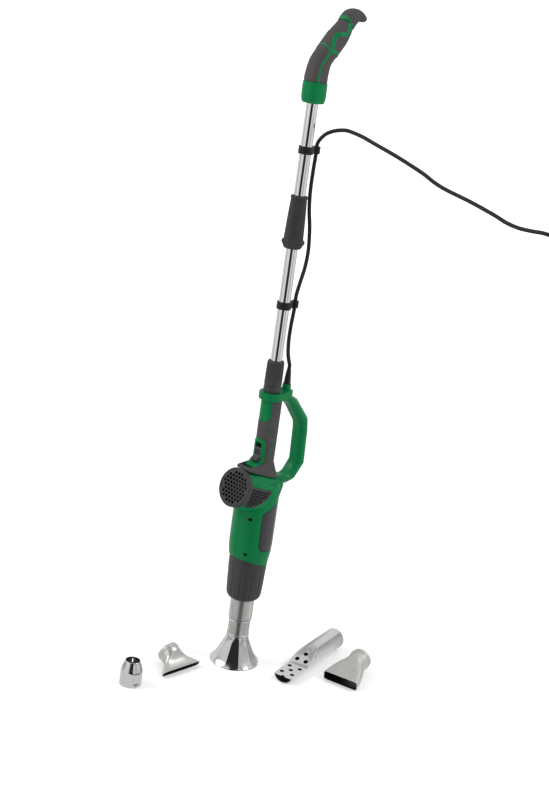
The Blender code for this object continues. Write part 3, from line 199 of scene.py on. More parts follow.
# stainless sheet, deep drawn and polished: bright, with faint lines from the press
polishedSteel = metalMaterial("polished stainless sheet", {
    "colour": "#cfcfcf", "second": "#bcbcbc", "lineMm": 1.4, "lineScale": (1, 1, 0.12), "lineStrength": 0.25,
    "smearMm": 22, "roughness": 0.13})
# the same sheet left satin: the outlet, the collars and the flat-mouthed nozzles
satinSteel = metalMaterial("satin stainless sheet", {
    "colour": "#c9c9c6", "second": "#b4b4b1", "lineMm": 1.6, "lineScale": (1, 1, 0.12), "lineStrength": 0.3,
    "smearMm": 14, "roughness": 0.4})
# the same sheet inside the nozzles, dulled, and darkened to paint the shade in their mouths and bores
mouthShadeSteel = metalMaterial("shade-painted stainless sheet", {
    "colour": "#4a4846", "second": "#343332", "lineMm": 2.0, "lineScale": (1, 1, 1), "lineStrength": 0.2,
    "smearMm": 8, "roughness": 0.4})
# chrome plate on a drawn steel tube: a mirror, with lines so fine that they only soften it
chromePlate = metalMaterial("chrome-plated tube", {
    "colour": "#dcdddf", "second": "#d2d3d6", "lineMm": 0.9, "lineScale": (1, 1, 0.05), "lineStrength": 0.12,
    "smearMm": 60, "roughness": 0.07})
# zinc plate on the plug's pins, the motor's can and the fittings inside: a duller, greyer metal
platedSteel = metalMaterial("zinc-plated steel", {
    "colour": "#9a9b9c", "second": "#86888a", "lineMm": 0.8, "lineScale": (1, 1, 1), "lineStrength": 0.2,
    "smearMm": 9, "roughness": 0.32})
# the casing's screws, dark with a dull shine: the dark colour paints the shade down their wells
wellShadeSteel = metalMaterial("screw steel darkened for painted shade", {
    "colour": "#37383a", "second": "#2b2c2d", "lineMm": 0.8, "lineScale": (1, 1, 1), "lineStrength": 0.2,
    "smearMm": 6, "roughness": 0.45})
# pressed mica round the heater, cordierite ceramic and a lacquered board, all inside
micaSheet = mouldedMaterial("pressed mica sheet", {
    "colour": "#b9a98b", "second": "#a39274", "patchMm": 6, "grainMm": 0.6, "grainStrength": 0.5,
    "roughness": 0.5, "ior": 1.58, "gloss": 0.25})
heaterCeramic = mouldedMaterial("cordierite ceramic", {
    "colour": "#e2ded2", "second": "#d5cfc0", "patchMm": 8, "grainMm": 0.5, "grainStrength": 0.5,
    "roughness": 0.75, "ior": 1.56, "gloss": 0.25})
boardLacquer = mouldedMaterial("lacquered circuit board", {
    "colour": "#1f5a3a", "second": "#1a4d33", "patchMm": 5, "grainMm": 0.8, "grainStrength": 0.2,
    "roughness": 0.3, "ior": 1.55, "gloss": 0.25})
print("materials made")


def dressNode(node, material):
    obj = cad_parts[node]
    obj.data.materials.clear()
    obj.data.materials.append(material)


def fromArrays(name, points, faces, material, sharpAngle=sharpFrom):
    # a mesh in the gun's own measures, moved to its place and shaded smooth between its sharp edges
    mesh = bpy.data.meshes.new(name)
    mesh.from_pydata((np.asarray(points, float) + gunAxis).tolist(), [],
                     [list(map(int, face)) for face in faces])
    mesh.materials.append(material)
    mesh.polygons.foreach_set("use_smooth", np.ones(len(mesh.polygons), bool))
    mesh.set_sharp_from_angle(angle=math.radians(sharpAngle))
    mesh.update()
    return newObject(name, mesh)


def outwards(obj):
    # the signed volume, summed over the faces, is negative where a closed shape is inside out
    mesh = obj.data
    mesh.calc_loop_triangles()
    corners = np.empty(len(mesh.vertices) * 3)
    mesh.vertices.foreach_get("co", corners)
    corners = corners.reshape(-1, 3)
    triangles = np.empty(len(mesh.loop_triangles) * 3, int)
    mesh.loop_triangles.foreach_get("vertices", triangles)
    a, b, c = (corners[triangles.reshape(-1, 3)[:, k]] for k in range(3))
    if np.einsum("ij,ij->i", a, np.cross(b, c)).sum() < 0:
        mesh.flip_normals()
    return obj


def skin(name, grid, material, closed=False, sharpAngle=sharpFrom, inside=None):
    # a surface over a grid of points, rows along and columns round; closed joins the last row to the first,
    # and inside is the material from the middle row on
    grid = np.asarray(grid, float)
    rows, columns = grid.shape[:2]
    index = np.arange(rows * columns).reshape(rows, columns)
    if closed:
        index = np.vstack([index, index[:1]])
    across = np.roll(index, -1, axis=1)
    quads = np.stack([index[:-1], across[:-1], across[1:], index[1:]], axis=-1).reshape(-1, 4)
    faces = quads.tolist()
    if not closed:
        faces += [index[0][::-1].tolist(), index[-1].tolist()]
    made = outwards(fromArrays(name, grid.reshape(-1, 3), faces, material, sharpAngle))
    if inside:
        made.data.materials.append(inside)
        made.data.polygons.foreach_set("material_index", np.arange(len(faces)) // columns >= rows // 2)
    return made


def ringAngles(count):
    return np.arange(count) * 2 * math.pi / count


def aroundAxis(reach, angles, level, centre=(0.0, 0.0)):
    # points at reach x (cos, sin) of each angle from the upright axis through centre, at that level
    x, y = centre[0] + reach * np.cos(angles), centre[1] + reach * np.sin(angles)
    return np.stack([x, y, np.broadcast_to(level, x.shape)], axis=-1)


def softened(profile, radius, closed=False, cuts=4):
    # each corner gives way to a short curve: (1-t)^2 a + 2t(1-t) corner + t^2 b, with a and b within radius
    # of the corner
    profile = np.asarray(profile, float)
    count = len(profile)
    steps = np.linspace(0, 1, cuts)[:, None]
    made = []
    for i in range(count):
        corner = profile[i]
        if not closed and i in (0, count - 1):
            made.append(corner[None])
            continue
        before, after = profile[i - 1], profile[(i + 1) % count]
        reachBefore = min(radius, np.linalg.norm(before - corner) * 0.45)
        reachAfter = min(radius, np.linalg.norm(after - corner) * 0.45)
        a = corner + (before - corner) / np.linalg.norm(before - corner) * reachBefore
        b = corner + (after - corner) / np.linalg.norm(after - corner) * reachAfter
        made.append((1 - steps) ** 2 * a + 2 * steps * (1 - steps) * corner + steps ** 2 * b)
    return np.concatenate(made)


def smoothLine(points, perPart=12):
    # a Catmull-Rom curve: between b and c, half of 2b + (c-a)t + (2a-5b+4c-d)t^2 + (3b-a-3c+d)t^3
    p = np.array([points[0], *points, points[-1]], float)
    t = np.linspace(0, 1, perPart, endpoint=False)[:, None]
    parts = []
    for a, b, c, d in zip(p[:-3], p[1:-2], p[2:-1], p[3:]):
        square, cube = 2 * a - 5 * b + 4 * c - d, 3 * b - a - 3 * c + d
        parts.append(0.5 * (2 * b + (c - a) * t + square * t ** 2 + cube * t ** 3))
    return np.concatenate([*parts, p[-1:]])


def turned(name, profile, material, hollow=False, count=96, centre=(0.0, 0.0), corner=0.0005, inside=None):
    # a profile carried round an upright axis, with its corners eased
    eased = softened(profile, corner, hollow) if corner else np.asarray(profile, float)
    eased = eased[eased[:, 0] > 1e-6]
    grid = aroundAxis(eased[:, :1], ringAngles(count), eased[:, 1:], centre)
    return skin(name, grid, material, closed=hollow, inside=inside)


def rod(name, radius, low, high, material, corner=0.0, **how):
    # a round bar along an upright axis
    return turned(name, [(0.0, low), (radius, low), (radius, high), (0.0, high)], material, corner=corner,
                  **how)


def extruded(name, outline, low, high, axis, material):
    # a flat outline carried straight along X, Y or Z
    outline = np.asarray(outline, float)
    rows = []
    for level in (low, high):
        flat = np.full(len(outline), level)
        columns = {"x": (flat, outline[:, 0], outline[:, 1]), "y": (outline[:, 0], flat, outline[:, 1]),
                   "z": (outline[:, 0], outline[:, 1], flat)}[axis]
        rows.append(np.stack(columns, axis=1))
    return skin(name, rows, material, sharpAngle=30)


def prismX(name, outline, low, high, material):
    return extruded(name, outline, low, high, "x", material)


def oblong(halfWidth, low, high):
    return [(-halfWidth, low), (halfWidth, low), (halfWidth, high), (-halfWidth, high)]


def circleOutline(middle, radius, count=24):
    angles = ringAngles(count)
    return np.stack([middle[0] + radius * np.cos(angles), middle[1] + radius * np.sin(angles)], axis=1)


def combine(target, tool, how, keepTool=False):
    # one solid cut from, added to or kept inside another, made final at once
    change = target.modifiers.new(how, "BOOLEAN")
    change.object, change.operation, change.solver, change.material_mode = tool, how, "EXACT", "TRANSFER"
    bpy.context.view_layer.update()
    done = bpy.data.meshes.new_from_object(target.evaluated_get(bpy.context.evaluated_depsgraph_get()))
    done.set_sharp_from_angle(angle=math.radians(sharpFrom))
    target.modifiers.clear()
    target.data = done
    if not keepTool:
        bpy.data.objects.remove(tool)
    return target


def easedEdges(obj, width, angle=34, segments=2):
    # the small radius that a mould or a press leaves on every edge
    done = obj.modifiers.new("eased edges", "BEVEL")
    done.width, done.segments, done.angle_limit = width, segments, math.radians(angle)
    done.limit_method, done.harden_normals, done.use_clamp_overlap = "ANGLE", False, True
    bpy.context.view_layer.update()
    mesh = bpy.data.meshes.new_from_object(obj.evaluated_get(bpy.context.evaluated_depsgraph_get()))
    obj.modifiers.clear()
    obj.data = mesh
    mesh.polygons.foreach_set("use_smooth", np.ones(len(mesh.polygons), bool))
    mesh.set_sharp_from_angle(angle=math.radians(40))
    return obj


def copyOf(obj, name, material=None):
    made = newObject(name, obj.data.copy())
    if material:
        made.data.materials.clear()
        made.data.materials.append(material)
    return made


def standsFor(obj, body, slot, *nodes):
    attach(obj, body)
    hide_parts(*nodes)
    return obj


# ---- camera

cameraLook = {"at": (1.57246, -1.74639, 1.2), "right": (0.709811, 0.691467, 0.13432),
              "up": (-0.296685, 0.120531, 0.947339), "lensMm": 69.11}
cameraData = bpy.data.cameras.new("camera")
camera = newObject("camera", cameraData)
right, up = Vector(cameraLook["right"]), Vector(cameraLook["up"])
turn = Matrix((right, up, right.cross(up))).transposed()
camera.matrix_world = Matrix.Translation(Vector(cameraLook["at"]) + Vector(gunAxis)) @ turn.to_4x4()
cameraData.lens = cameraLook["lensMm"]
cameraData.clip_end = 200
bpy.context.scene.camera = camera

# ---- the lead, from the strain relief through both clips to the coil and the plug

lead = {"diameter": 0.0064, "coilMiddle": (0.598, 0.205), "coilRadius": 0.0350, "coilPitch": 0.0070,
        "coilTurns": 2, "layerGap": 0.0070, "lift": 0.0016, "startAngle": 100, "upperSweep": 640,
        "pointsPerTurn": 40}
leadRadius = lead["diameter"] / 2
innerTurn = lead["coilRadius"] - lead["coilPitch"] * lead["coilTurns"] / 2
layerOne, climb, layerTwo = math.radians(360 * lead["coilTurns"]), math.pi, math.radians(lead["upperSweep"])


def coilLine(sweep):
    # inwards on the ground, half a turn up to the second layer, and outwards again, clockwise from above
    low = lead["lift"] + leadRadius
    high = low + lead["layerGap"]
    share = np.clip((sweep - layerOne) / climb, 0, 1)
    turnedBy = np.clip(layerOne - sweep, 0, None) + np.clip(sweep - layerOne - climb, 0, None)
    radius = innerTurn + lead["coilPitch"] * turnedBy / (2 * math.pi)
    radius = radius - lead["coilPitch"] * share / 2 * (1 - share)
    angle = math.radians(lead["startAngle"]) - sweep
    return np.stack([lead["coilMiddle"][0] + radius * np.cos(angle),
                     lead["coilMiddle"][1] + radius * np.sin(angle),
                     low + (high - low) * share ** 2 * (3 - 2 * share)], axis=1)


wholeSweep = layerOne + climb + layerTwo
coilPoints = coilLine(np.linspace(0, wholeSweep, round(wholeSweep / (2 * math.pi) * lead["pointsPerTurn"])))
leadStart = (0.0, 0.0340, 0.5218)
leadRun = [
    leadStart, (0, 0.0338, 0.5290), (0, 0.0300, 0.5380), (0, 0.0258, 0.5520), (0, 0.0232, 0.5740),
    (0, 0.0236, 0.5980), (0, 0.0250, 0.6140), (0, 0.0256, 0.6240), (0, 0.0256, 0.6330), (0, 0.0256, 0.6430),
    (0, 0.0262, 0.6500), (0, 0.0305, 0.6680), (0, 0.0370, 0.6930), (0, 0.0392, 0.7214), (0, 0.0350, 0.7560),
    (0, 0.0275, 0.7880), (0, 0.0238, 0.8180), (0, 0.0236, 0.8500), (0, 0.0244, 0.8730), (0, 0.0244, 0.8830),
    (0, 0.0244, 0.8925), (0.0029, 0.0268, 0.9009), (0.0093, 0.0316, 0.9100), (0.0216, 0.0363, 0.9168),
    (0.0365, 0.0399, 0.9205), (0.0471, 0.0425, 0.9206), (0.0683, 0.0476, 0.9167), (0.0898, 0.0527, 0.9102),
    (0.1327, 0.0626, 0.8971), (0.1756, 0.0721, 0.8819), (0.1973, 0.0768, 0.8720), (0.2185, 0.0813, 0.8649),
    (0.2597, 0.0897, 0.8555), (0.3009, 0.0977, 0.8442), (0.3215, 0.1015, 0.8374), (0.3415, 0.1052, 0.8339),
    (0.3605, 0.1088, 0.8337), (0.3863, 0.1164, 0.8340), (0.4120, 0.1290, 0.8260), (0.4380, 0.1450, 0.8060),
    (0.4600, 0.1640, 0.7650), (0.4720, 0.1830, 0.7000), (0.4770, 0.1990, 0.6000), (0.4780, 0.2110, 0.5000),
    (0.4785, 0.2210, 0.4000), (0.4795, 0.2300, 0.3000), (0.4820, 0.2370, 0.2000), (0.4880, 0.2420, 0.1200),
    (0.4990, 0.2445, 0.0600), (0.5160, 0.2450, 0.0230), (0.5380, 0.2440, 0.0060), (0.5600, 0.2435, 0.0036),
    (0.5740, 0.2438, 0.0040)]
intoCoil = coilPoints[1] - coilPoints[0]
intoCoil /= np.linalg.norm(intoCoil)
outOfCoil = coilPoints[-1] - coilPoints[-2]
outOfCoil /= np.linalg.norm(outOfCoil)

plug = {"rear": (0.5780, 0.1500, 0.0200), "tilt": 14.7, "pinSpacing": 0.0190, "faceAt": 0.0600,
        "pinEnd": 0.0790, "pinRadius": 0.0024, "grooves": (0.0045, 0.0080, 0.0115, 0.0150),
        "grooveWidth": 0.0014}
plugLean = math.radians(plug["tilt"]) - math.pi / 2
plugTurn = Matrix.Translation(plug["rear"]) @ Matrix.Rotation(plugLean, 4, "X")
intoPlug = np.array(plugTurn.to_3x3() @ Vector((0, 0, 1)))
plugRear = np.array(plug["rear"])
leadTail = [coilPoints[-1] + outOfCoil * 0.0064, (0.6400, 0.1720, 0.0105), (0.6310, 0.1500, 0.0060),
            (0.6150, 0.1345, 0.0040), (0.5970, 0.1285, 0.0065), (0.5830, 0.1330, 0.0125),
            plugRear - intoPlug * lead["diameter"], plugRear - intoPlug * 0.0003]
runLine = smoothLine([*leadRun, coilPoints[0] - intoCoil * 2 * lead["diameter"], coilPoints[0]], 8)
tailLine = smoothLine([coilPoints[-1], *leadTail], 10)
leadLine = np.concatenate([runLine[:-1], coilPoints, tailLine[1:]])

leadCurve = bpy.data.curves.new("mains_lead", "CURVE")
leadCurve.dimensions, leadCurve.bevel_depth, leadCurve.bevel_resolution = "3D", leadRadius, 5
leadCurve.use_fill_caps = True
spline = leadCurve.splines.new("POLY")
spline.points.add(len(leadLine) - 1)
spline.points.foreach_set("co", np.hstack([leadLine + gunAxis, np.ones((len(leadLine), 1))]).ravel())
spline.use_smooth = True
leadCurve.materials.append(cordPvc)
mainsLead = newObject("mains_lead", leadCurve)
standsFor(mainsLead, "gun", "cord_rubber", "cord_run", "cord_coil", "cord_tail")


def placed(obj, matrix):
    # a finished piece has its place in its mesh: turned and moved about the gun's own axis
    here = Matrix.Translation(Vector(gunAxis))
    obj.data.transform(here @ matrix @ here.inverted())
    return obj


def turnedAt(heading, at=(0.0, 0.0)):
    # the place of a piece that stands at this point, turned about its own upright axis
    return Matrix.Translation((*at, 0)) @ Matrix.Rotation(math.radians(heading), 4, "Z")


plugBody = turned("mains_plug", [(0.0, 0), (0.0042, 0), (0.0050, 0.0030), (0.0054, 0.0180),
                                 (0.0090, 0.0215), (0.0122, 0.0290), (0.0132, 0.0430), (0.0180, 0.0485),
                                 (0.0185, 0.0510), (0.0185, 0.0575), (0.0175, plug["faceAt"]),
                                 (0.0, plug["faceAt"])], cordPvc, count=64, corner=0.002)
for level in plug["grooves"]:
    grooveTop = level + plug["grooveWidth"]
    groove = turned("plug groove", [(0.0047, level), (0.0080, level), (0.0080, grooveTop),
                                    (0.0047, grooveTop)], cordPvc, hollow=True, count=40, corner=0)
    combine(plugBody, groove, "DIFFERENCE")
placed(easedEdges(plugBody, 0.0003), plugTurn)
standsFor(plugBody, "gun", "cord_rubber", "plug_body")
for number, side in ((1, -1), (2, 1)):
    pinLow, pinHigh, pinRadius = plug["faceAt"] + gap, plug["pinEnd"], plug["pinRadius"]
    pinLine = [(0.0, pinLow), (pinRadius, pinLow), (pinRadius, pinHigh - 0.0015),
               (pinRadius - 0.0009, pinHigh), (0.0, pinHigh)]
    pin = turned(f"plug_pin_made_{number}", pinLine, platedSteel, count=32, corner=0.0006,
                 centre=(plug["pinSpacing"] / 2 * side, 0))
    standsFor(placed(pin, plugTurn), "gun", "stainless_steel", f"plug_pin_{number}")

# the tie: a flat strap once round both layers of the coil
tie = {"angle": 60, "wall": 0.0010, "width": 0.0060}
tieIn = innerTurn - lead["coilPitch"] / 8 - leadRadius - gap
tieOut = lead["coilRadius"] + lead["coilPitch"] + leadRadius + gap
tieTop = lead["lift"] + 2 * leadRadius + lead["layerGap"] + gap
thick = tie["wall"]
inner = softened([(tieIn, gap + thick), (tieOut, gap + thick), (tieOut, tieTop), (tieIn, tieTop)], 0.003,
                 True, 6)
outer = softened([(tieIn - thick, gap), (tieOut + thick, gap), (tieOut + thick, tieTop + thick),
                  (tieIn - thick, tieTop + thick)], 0.004, True, 6)
half = tie["width"] / 2
strapEdges = ((inner, -half), (outer, -half), (outer, half), (inner, half))
strapRows = [[(x, level, z) for x, z in line] for line, level in strapEdges]
coilTie = skin("coil_tie_strap", np.array(strapRows).transpose(1, 0, 2), softTpe, closed=True)
placed(easedEdges(coilTie, 0.0002), turnedAt(tie["angle"], lead["coilMiddle"]))
standsFor(coilTie, "gun", "black_plastic", "coil_tie")

# tapered relief with soft collars
relief = {"at": (0.0, 0.0340), "low": 0.4790, "stub": 0.4965, "top": 0.5215, "collars": 5, "radius": 0.0061,
          "collarPitch": 0.0044, "collarTaper": 0.00036}
reliefProfile = [(0.0, relief["low"]), (0.0046, relief["low"]), (0.0046, relief["stub"] + gap),
                 (relief["radius"], relief["stub"] + gap)]
for k in range(relief["collars"]):
    low = relief["stub"] + 0.0012 + k * relief["collarPitch"]
    radius = relief["radius"] - k * relief["collarTaper"]
    reliefProfile += [(radius, low), (radius - 0.0002, low + 0.0026), (radius - 0.0011, low + 0.0030),
                      (radius - 0.0011, low + 0.0042)]
reliefProfile += [(leadRadius + 0.0006, relief["top"]), (leadRadius * 0.9, relief["top"])]
leadRelief = turned("lead_relief", reliefProfile, cordPvc, count=40, centre=relief["at"], corner=0.0004)
standsFor(leadRelief, "gun", "black_plastic", "strain_relief")
print("lead made")

# ---- the casing: barrel, leaning head, stem, tongue, collar plate, cord stub and loop, in two halves

wall = 0.0026   # moulded wall of the casing
socketRadius = 0.0125   # of the pole's socket, in the casing below and the lock nut above
head = {"tilt": 18.0, "height": 0.330, "reach": 0.0590, "halfWidth": 0.0352, "top": 0.0320,
        "topHalf": 0.0220, "facetLow": 0.0136, "coverRadius": 0.0330, "coverDepth": 0.0085,
        "outerReach": 0.0365, "squareness": 40, "boreRadius": 0.0275, "back": -0.094}
barrel = {"radius": 0.0364, "footRadius": 0.0326, "bottom": 0.189}
stem = {"back": 0.0030, "radius": 0.0147, "gripRadius": 0.0172, "gripTop": 0.4745}
collar = {"bottom": 0.4750, "face": 0.4870, "radius": 0.0205, "cordBack": 0.0340, "stubRadius": 0.0070,
          "stubHeight": 0.0095}
headTilt = math.radians(head["tilt"])
seamSlope = math.tan(headTilt)
acrossHead = np.array([1.0, 0.0, 0.0])
lookOut = np.array([0.0, -math.cos(headTilt), math.sin(headTilt)])
headRise = np.array([0.0, math.sin(headTilt), math.cos(headTilt)])
faceCentre = np.array([0.0, -head["reach"], head["height"]])


def inHead(x, up, ahead):
    # across, up and ahead of the middle of the intake's face
    x, up, ahead = (np.asarray(value, float)[..., None] for value in np.broadcast_arrays(x, up, ahead))
    return faceCentre + x * acrossHead + up * headRise + ahead * lookOut


def headRing(ahead, grow=0.0):
    # round at the cover; further back the reach at an angle is (sum over faces of (cos/distance)^p)^(-1/p)
    angles = ringAngles(112)
    lean = math.atan2(head["halfWidth"] - head["topHalf"], head["top"] - head["facetLow"])
    facet = head["halfWidth"] * math.cos(lean) + head["facetLow"] * math.sin(lean)
    faces = np.array([(math.pi / 2, head["top"]), (0, head["halfWidth"]), (math.pi, head["halfWidth"]),
                      (lean, facet), (math.pi - lean, facet)])
    power = head["squareness"]
    toward = np.clip(np.cos(angles[:, None] - faces[:, 0]), 0, None) / faces[:, 1]
    reach = ((toward ** power).sum(axis=1) + (1 / head["outerReach"]) ** power) ** (-1 / power)
    blend = min(1.0, max(0.0, -(ahead + head["coverDepth"]) / 0.020))
    radius = (1 - blend) * (head["coverRadius"] - 0.0005) + blend * reach + grow
    deep = max(0.0, -ahead - head["reach"] / math.cos(headTilt))
    widest = math.sqrt(max(0.0001, barrel["radius"] ** 2 - deep ** 2)) + grow
    return inHead(np.clip(radius * np.cos(angles), -widest, widest), radius * np.sin(angles), ahead)


def headBar(name, radius, stations, material, count=144):
    # a round bar through the head, square to the intake's face
    angles = ringAngles(count)
    rows = [inHead(radius * np.cos(angles), radius * np.sin(angles), ahead) for ahead in stations]
    return skin(name, rows, material)


headStations = np.concatenate([np.linspace(-head["coverDepth"], -0.0285, 8), np.linspace(-0.034, -0.062, 5),
                               np.linspace(-0.066, head["back"], 10)])


# the loop's middle line as (Y, Z, depth of the band there)
loopBand = {"width": 0.0280, "chamfer": 0.0062, "line": [
    (0.0120, 0.4790, 0.0110), (0.0340, 0.4745, 0.0125), (0.0500, 0.4640, 0.0165), (0.0798, 0.4290, 0.0195),
    (0.0830, 0.4120, 0.0195), (0.0857, 0.3540, 0.0195), (0.0690, 0.3318, 0.0180), (0.0550, 0.3275, 0.0150),
    (0.0420, 0.3300, 0.0120), (0.0250, 0.3330, 0.0120)]}


def loopSolid(name, grow=0.0):
    # a band with cut corners along the line; the section at a corner looks halfway between its two sides
    # and is stretched by 1 / cos(half the turn), so that the sides meet in a mitre
    line = np.array(loopBand["line"])
    sides = np.diff(line[:, :2], axis=0)
    sides /= np.linalg.norm(sides, axis=1)[:, None]
    after = np.concatenate([sides, sides[-1:]])
    along = np.concatenate([sides[:1], sides]) + after
    along /= np.linalg.norm(along, axis=1)[:, None]
    stretch = 1 / (along * after).sum(axis=1)
    line[0, :2] -= along[0] * grow
    line[-1, :2] += along[-1] * grow
    rows = []
    for (y, z, depth), (alongY, alongZ), stretched in zip(line, along, stretch):
        w, d, c = loopBand["width"] / 2 + grow, depth / 2 + grow, min(loopBand["chamfer"], depth * 0.40)
        section = softened([(w, -d + c), (w, d - c), (w - c, d), (c - w, d), (-w, d - c), (-w, -d + c),
                            (c - w, -d), (w - c, -d)], 0.0009, True, 3)
        outwardBy = section[:, 1] * stretched
        rows.append(np.stack([section[:, 0], y - outwardBy * alongZ, z + outwardBy * alongY], axis=1))
    return skin(name, rows, greenAbs, sharpAngle=30)


casing = turned("casing", [(0.0, 0.167), (barrel["footRadius"] - 0.0006, 0.167),
                           (barrel["footRadius"], barrel["bottom"]), (0.0338, 0.198), (0.0356, 0.210),
                           (barrel["radius"], 0.226), (barrel["radius"], 0.322), (0.0352, 0.3300),
                           (0.0300, 0.3340), (0.0, 0.3340)], greenAbs, count=144, corner=0.004)
combine(casing, skin("head block", [headRing(ahead) for ahead in headStations], greenAbs), "UNION")
combine(casing, rod("stem", stem["radius"], 0.330, collar["face"] - 0.004, greenAbs,
                    centre=(0, stem["back"])), "UNION")


def tongueOutline(grow, high):
    half = tongueLook["halfWidth"] + grow
    point, shoulder = tongueLook["point"] - grow, tongueLook["shoulder"] - grow
    tip = tongueLook["tipHalf"] + grow / 2
    return softened([(-half, shoulder), (-tip, point), (tip, point), (half, shoulder), (half, high),
                     (-half, high)], 0.002, True)


# the tongue comes down from the collar plate over the front of the grip
tongueLook = {"halfWidth": 0.0128, "tipHalf": 0.0080, "point": 0.4385, "shoulder": 0.4445}
tongue = extruded("tongue", tongueOutline(0, collar["face"] - 0.003), -0.030, stem["back"], "y", greenAbs)
combine(tongue, rod("tongue round", stem["gripRadius"], 0.42, 0.49, greenAbs, centre=(0, stem["back"])),
        "INTERSECT")
combine(casing, tongue, "UNION")
front, back = np.linspace(-math.pi, 0, 33), np.linspace(0, math.pi, 25)
frontArc = np.stack([collar["radius"] * np.cos(front), collar["radius"] * np.sin(front)], axis=1)
backArc = np.stack([0.0125 * np.cos(back), collar["cordBack"] + 0.0105 * np.sin(back)], axis=1)
collarPlate = extruded("collar plate", np.concatenate([frontArc, backArc]), collar["bottom"],
                       collar["face"], "z", greenAbs)
combine(casing, easedEdges(collarPlate, 0.0010, 60, 3), "UNION")
stubFoot, stubTop = collar["face"] - 0.004, collar["face"] + collar["stubHeight"]
cordStub = turned("cord stub", [(0.0, stubFoot), (collar["stubRadius"] + 0.001, stubFoot),
                                (collar["stubRadius"], stubTop), (0.0, stubTop)], greenAbs, count=48,
                  centre=(0, collar["cordBack"]))
combine(casing, cordStub, "UNION")
combine(casing, loopSolid("loop handle"), "UNION")
seam = barrel["bottom"]


def pastSeam(name, far, lift, material):
    # everything between a level and the sloping seam, as a prism across the barrel
    reach = 0.06
    slope = [(reach, seam - reach * seamSlope + lift), (-reach, seam + reach * seamSlope + lift)]
    return prismX(name, [(-reach, far), (reach, far), *slope], -reach, reach, material)


combine(casing, pastSeam("below the seam", 0.10, gap, greenAbs), "DIFFERENCE")
print("casing solid made")

hollow = turned("hollow", [(0.0, 0.147), (barrel["footRadius"] - wall, 0.147),
                           (barrel["footRadius"] - wall, barrel["bottom"]), (0.0356 - wall, 0.210),
                           (barrel["radius"] - wall, 0.226), (barrel["radius"] - wall, 0.318),
                           (0.0230, 0.3310), (0.0, 0.3310)], greenAbs)
combine(hollow, headBar("head bore", head["boreRadius"], (0.01, -0.050), greenAbs, 64), "UNION")
combine(hollow, rod("stem bore", stem["radius"] - wall, 0.325, 0.450, greenAbs, centre=(0, stem["back"])),
        "UNION")
combine(hollow, rod("socket seat", socketRadius, 0.4477, 0.50, greenAbs), "UNION")
casingShell = combine(casing, hollow, "DIFFERENCE")
casingShell.name = "casing shell"
print("casing hollowed")

meshWindow = {"outline": [(-0.0520, 0.3405), (-0.0040, 0.3255), (-0.0090, 0.3150), (-0.0260, 0.3060),
                          (-0.0400, 0.3005), (-0.0490, 0.2995), (-0.0560, 0.3060)], "hole": 0.0042,
              "pitch": 0.0052, "middle": (-0.0280, 0.3180)}
rowShare = math.sqrt(3) / 2     # of the pitch, between two rows of holes
padWindow = [(-0.0160, 0.2265), (-0.0120, 0.2190), (-0.0040, 0.2160), (0.045, 0.2110), (0.045, 0.3190),
             (0.014, 0.3020), (-0.004, 0.2920), (-0.0160, 0.2850)]


def drawnIn(outline, distance):
    # every corner moves in along the middle of its two sides' normals
    outline = np.asarray(outline, float)
    following = np.roll(outline, -1, axis=0)
    before, after = outline - np.roll(outline, 1, axis=0), following - outline
    sign = np.sign((outline[:, 0] * following[:, 1] - outline[:, 1] * following[:, 0]).sum())
    normals = [np.stack([-side[:, 1], side[:, 0]], axis=1) / np.linalg.norm(side, axis=1)[:, None] * sign
               for side in (before, after)]
    middle = normals[0] + normals[1]
    middle /= np.linalg.norm(middle, axis=1)[:, None]
    return outline + middle * (distance / np.maximum(0.4, (middle * normals[0]).sum(axis=1)))[:, None]


def insideOf(outline, points):
    # for a convex outline: every side has the point on the same hand
    outline = np.asarray(outline, float)
    side = np.roll(outline, -1, axis=0) - outline
    offset = points[:, None] - outline[None]
    turnSign = side[None, :, 0] * offset[..., 1] - side[None, :, 1] * offset[..., 0]
    return (turnSign < 0).all(axis=1) | (turnSign > 0).all(axis=1)


def punched(name, places, radius, low, high, material, corners, makePoint):
    # many short bars as one mesh, each a ring of corners at two levels, for cutting a pattern of holes;
    # makePoint says where a place of the pattern is at a level
    angles = ringAngles(corners) + math.pi / corners
    ring = np.stack([np.cos(angles), np.sin(angles)], axis=1) * radius
    flat = np.asarray(places)[:, None] + ring[None]
    count = len(places)
    points = np.concatenate([makePoint(flat[..., 0], flat[..., 1], level).reshape(-1, 3)
                             for level in (low, high)])
    index = np.arange(count * corners * 2).reshape(2, count, corners)
    across = np.roll(index, -1, axis=2)
    walls = np.stack([index[0], across[0], across[1], index[1]], axis=-1).reshape(-1, 4)
    faces = walls.tolist() + index[0][:, ::-1].tolist() + index[1].tolist()
    return outwards(fromArrays(name, points, faces, material))


def sideways(y, z, x):
    return np.stack([np.full(y.shape, x), y, z], axis=-1)


def sidePrism(name, outline, near, far, sign, material):
    # a prism from near to far off the middle, on the side that sign says
    low, high = sorted((near * sign, far * sign))
    return prismX(name, outline, low, high, material)


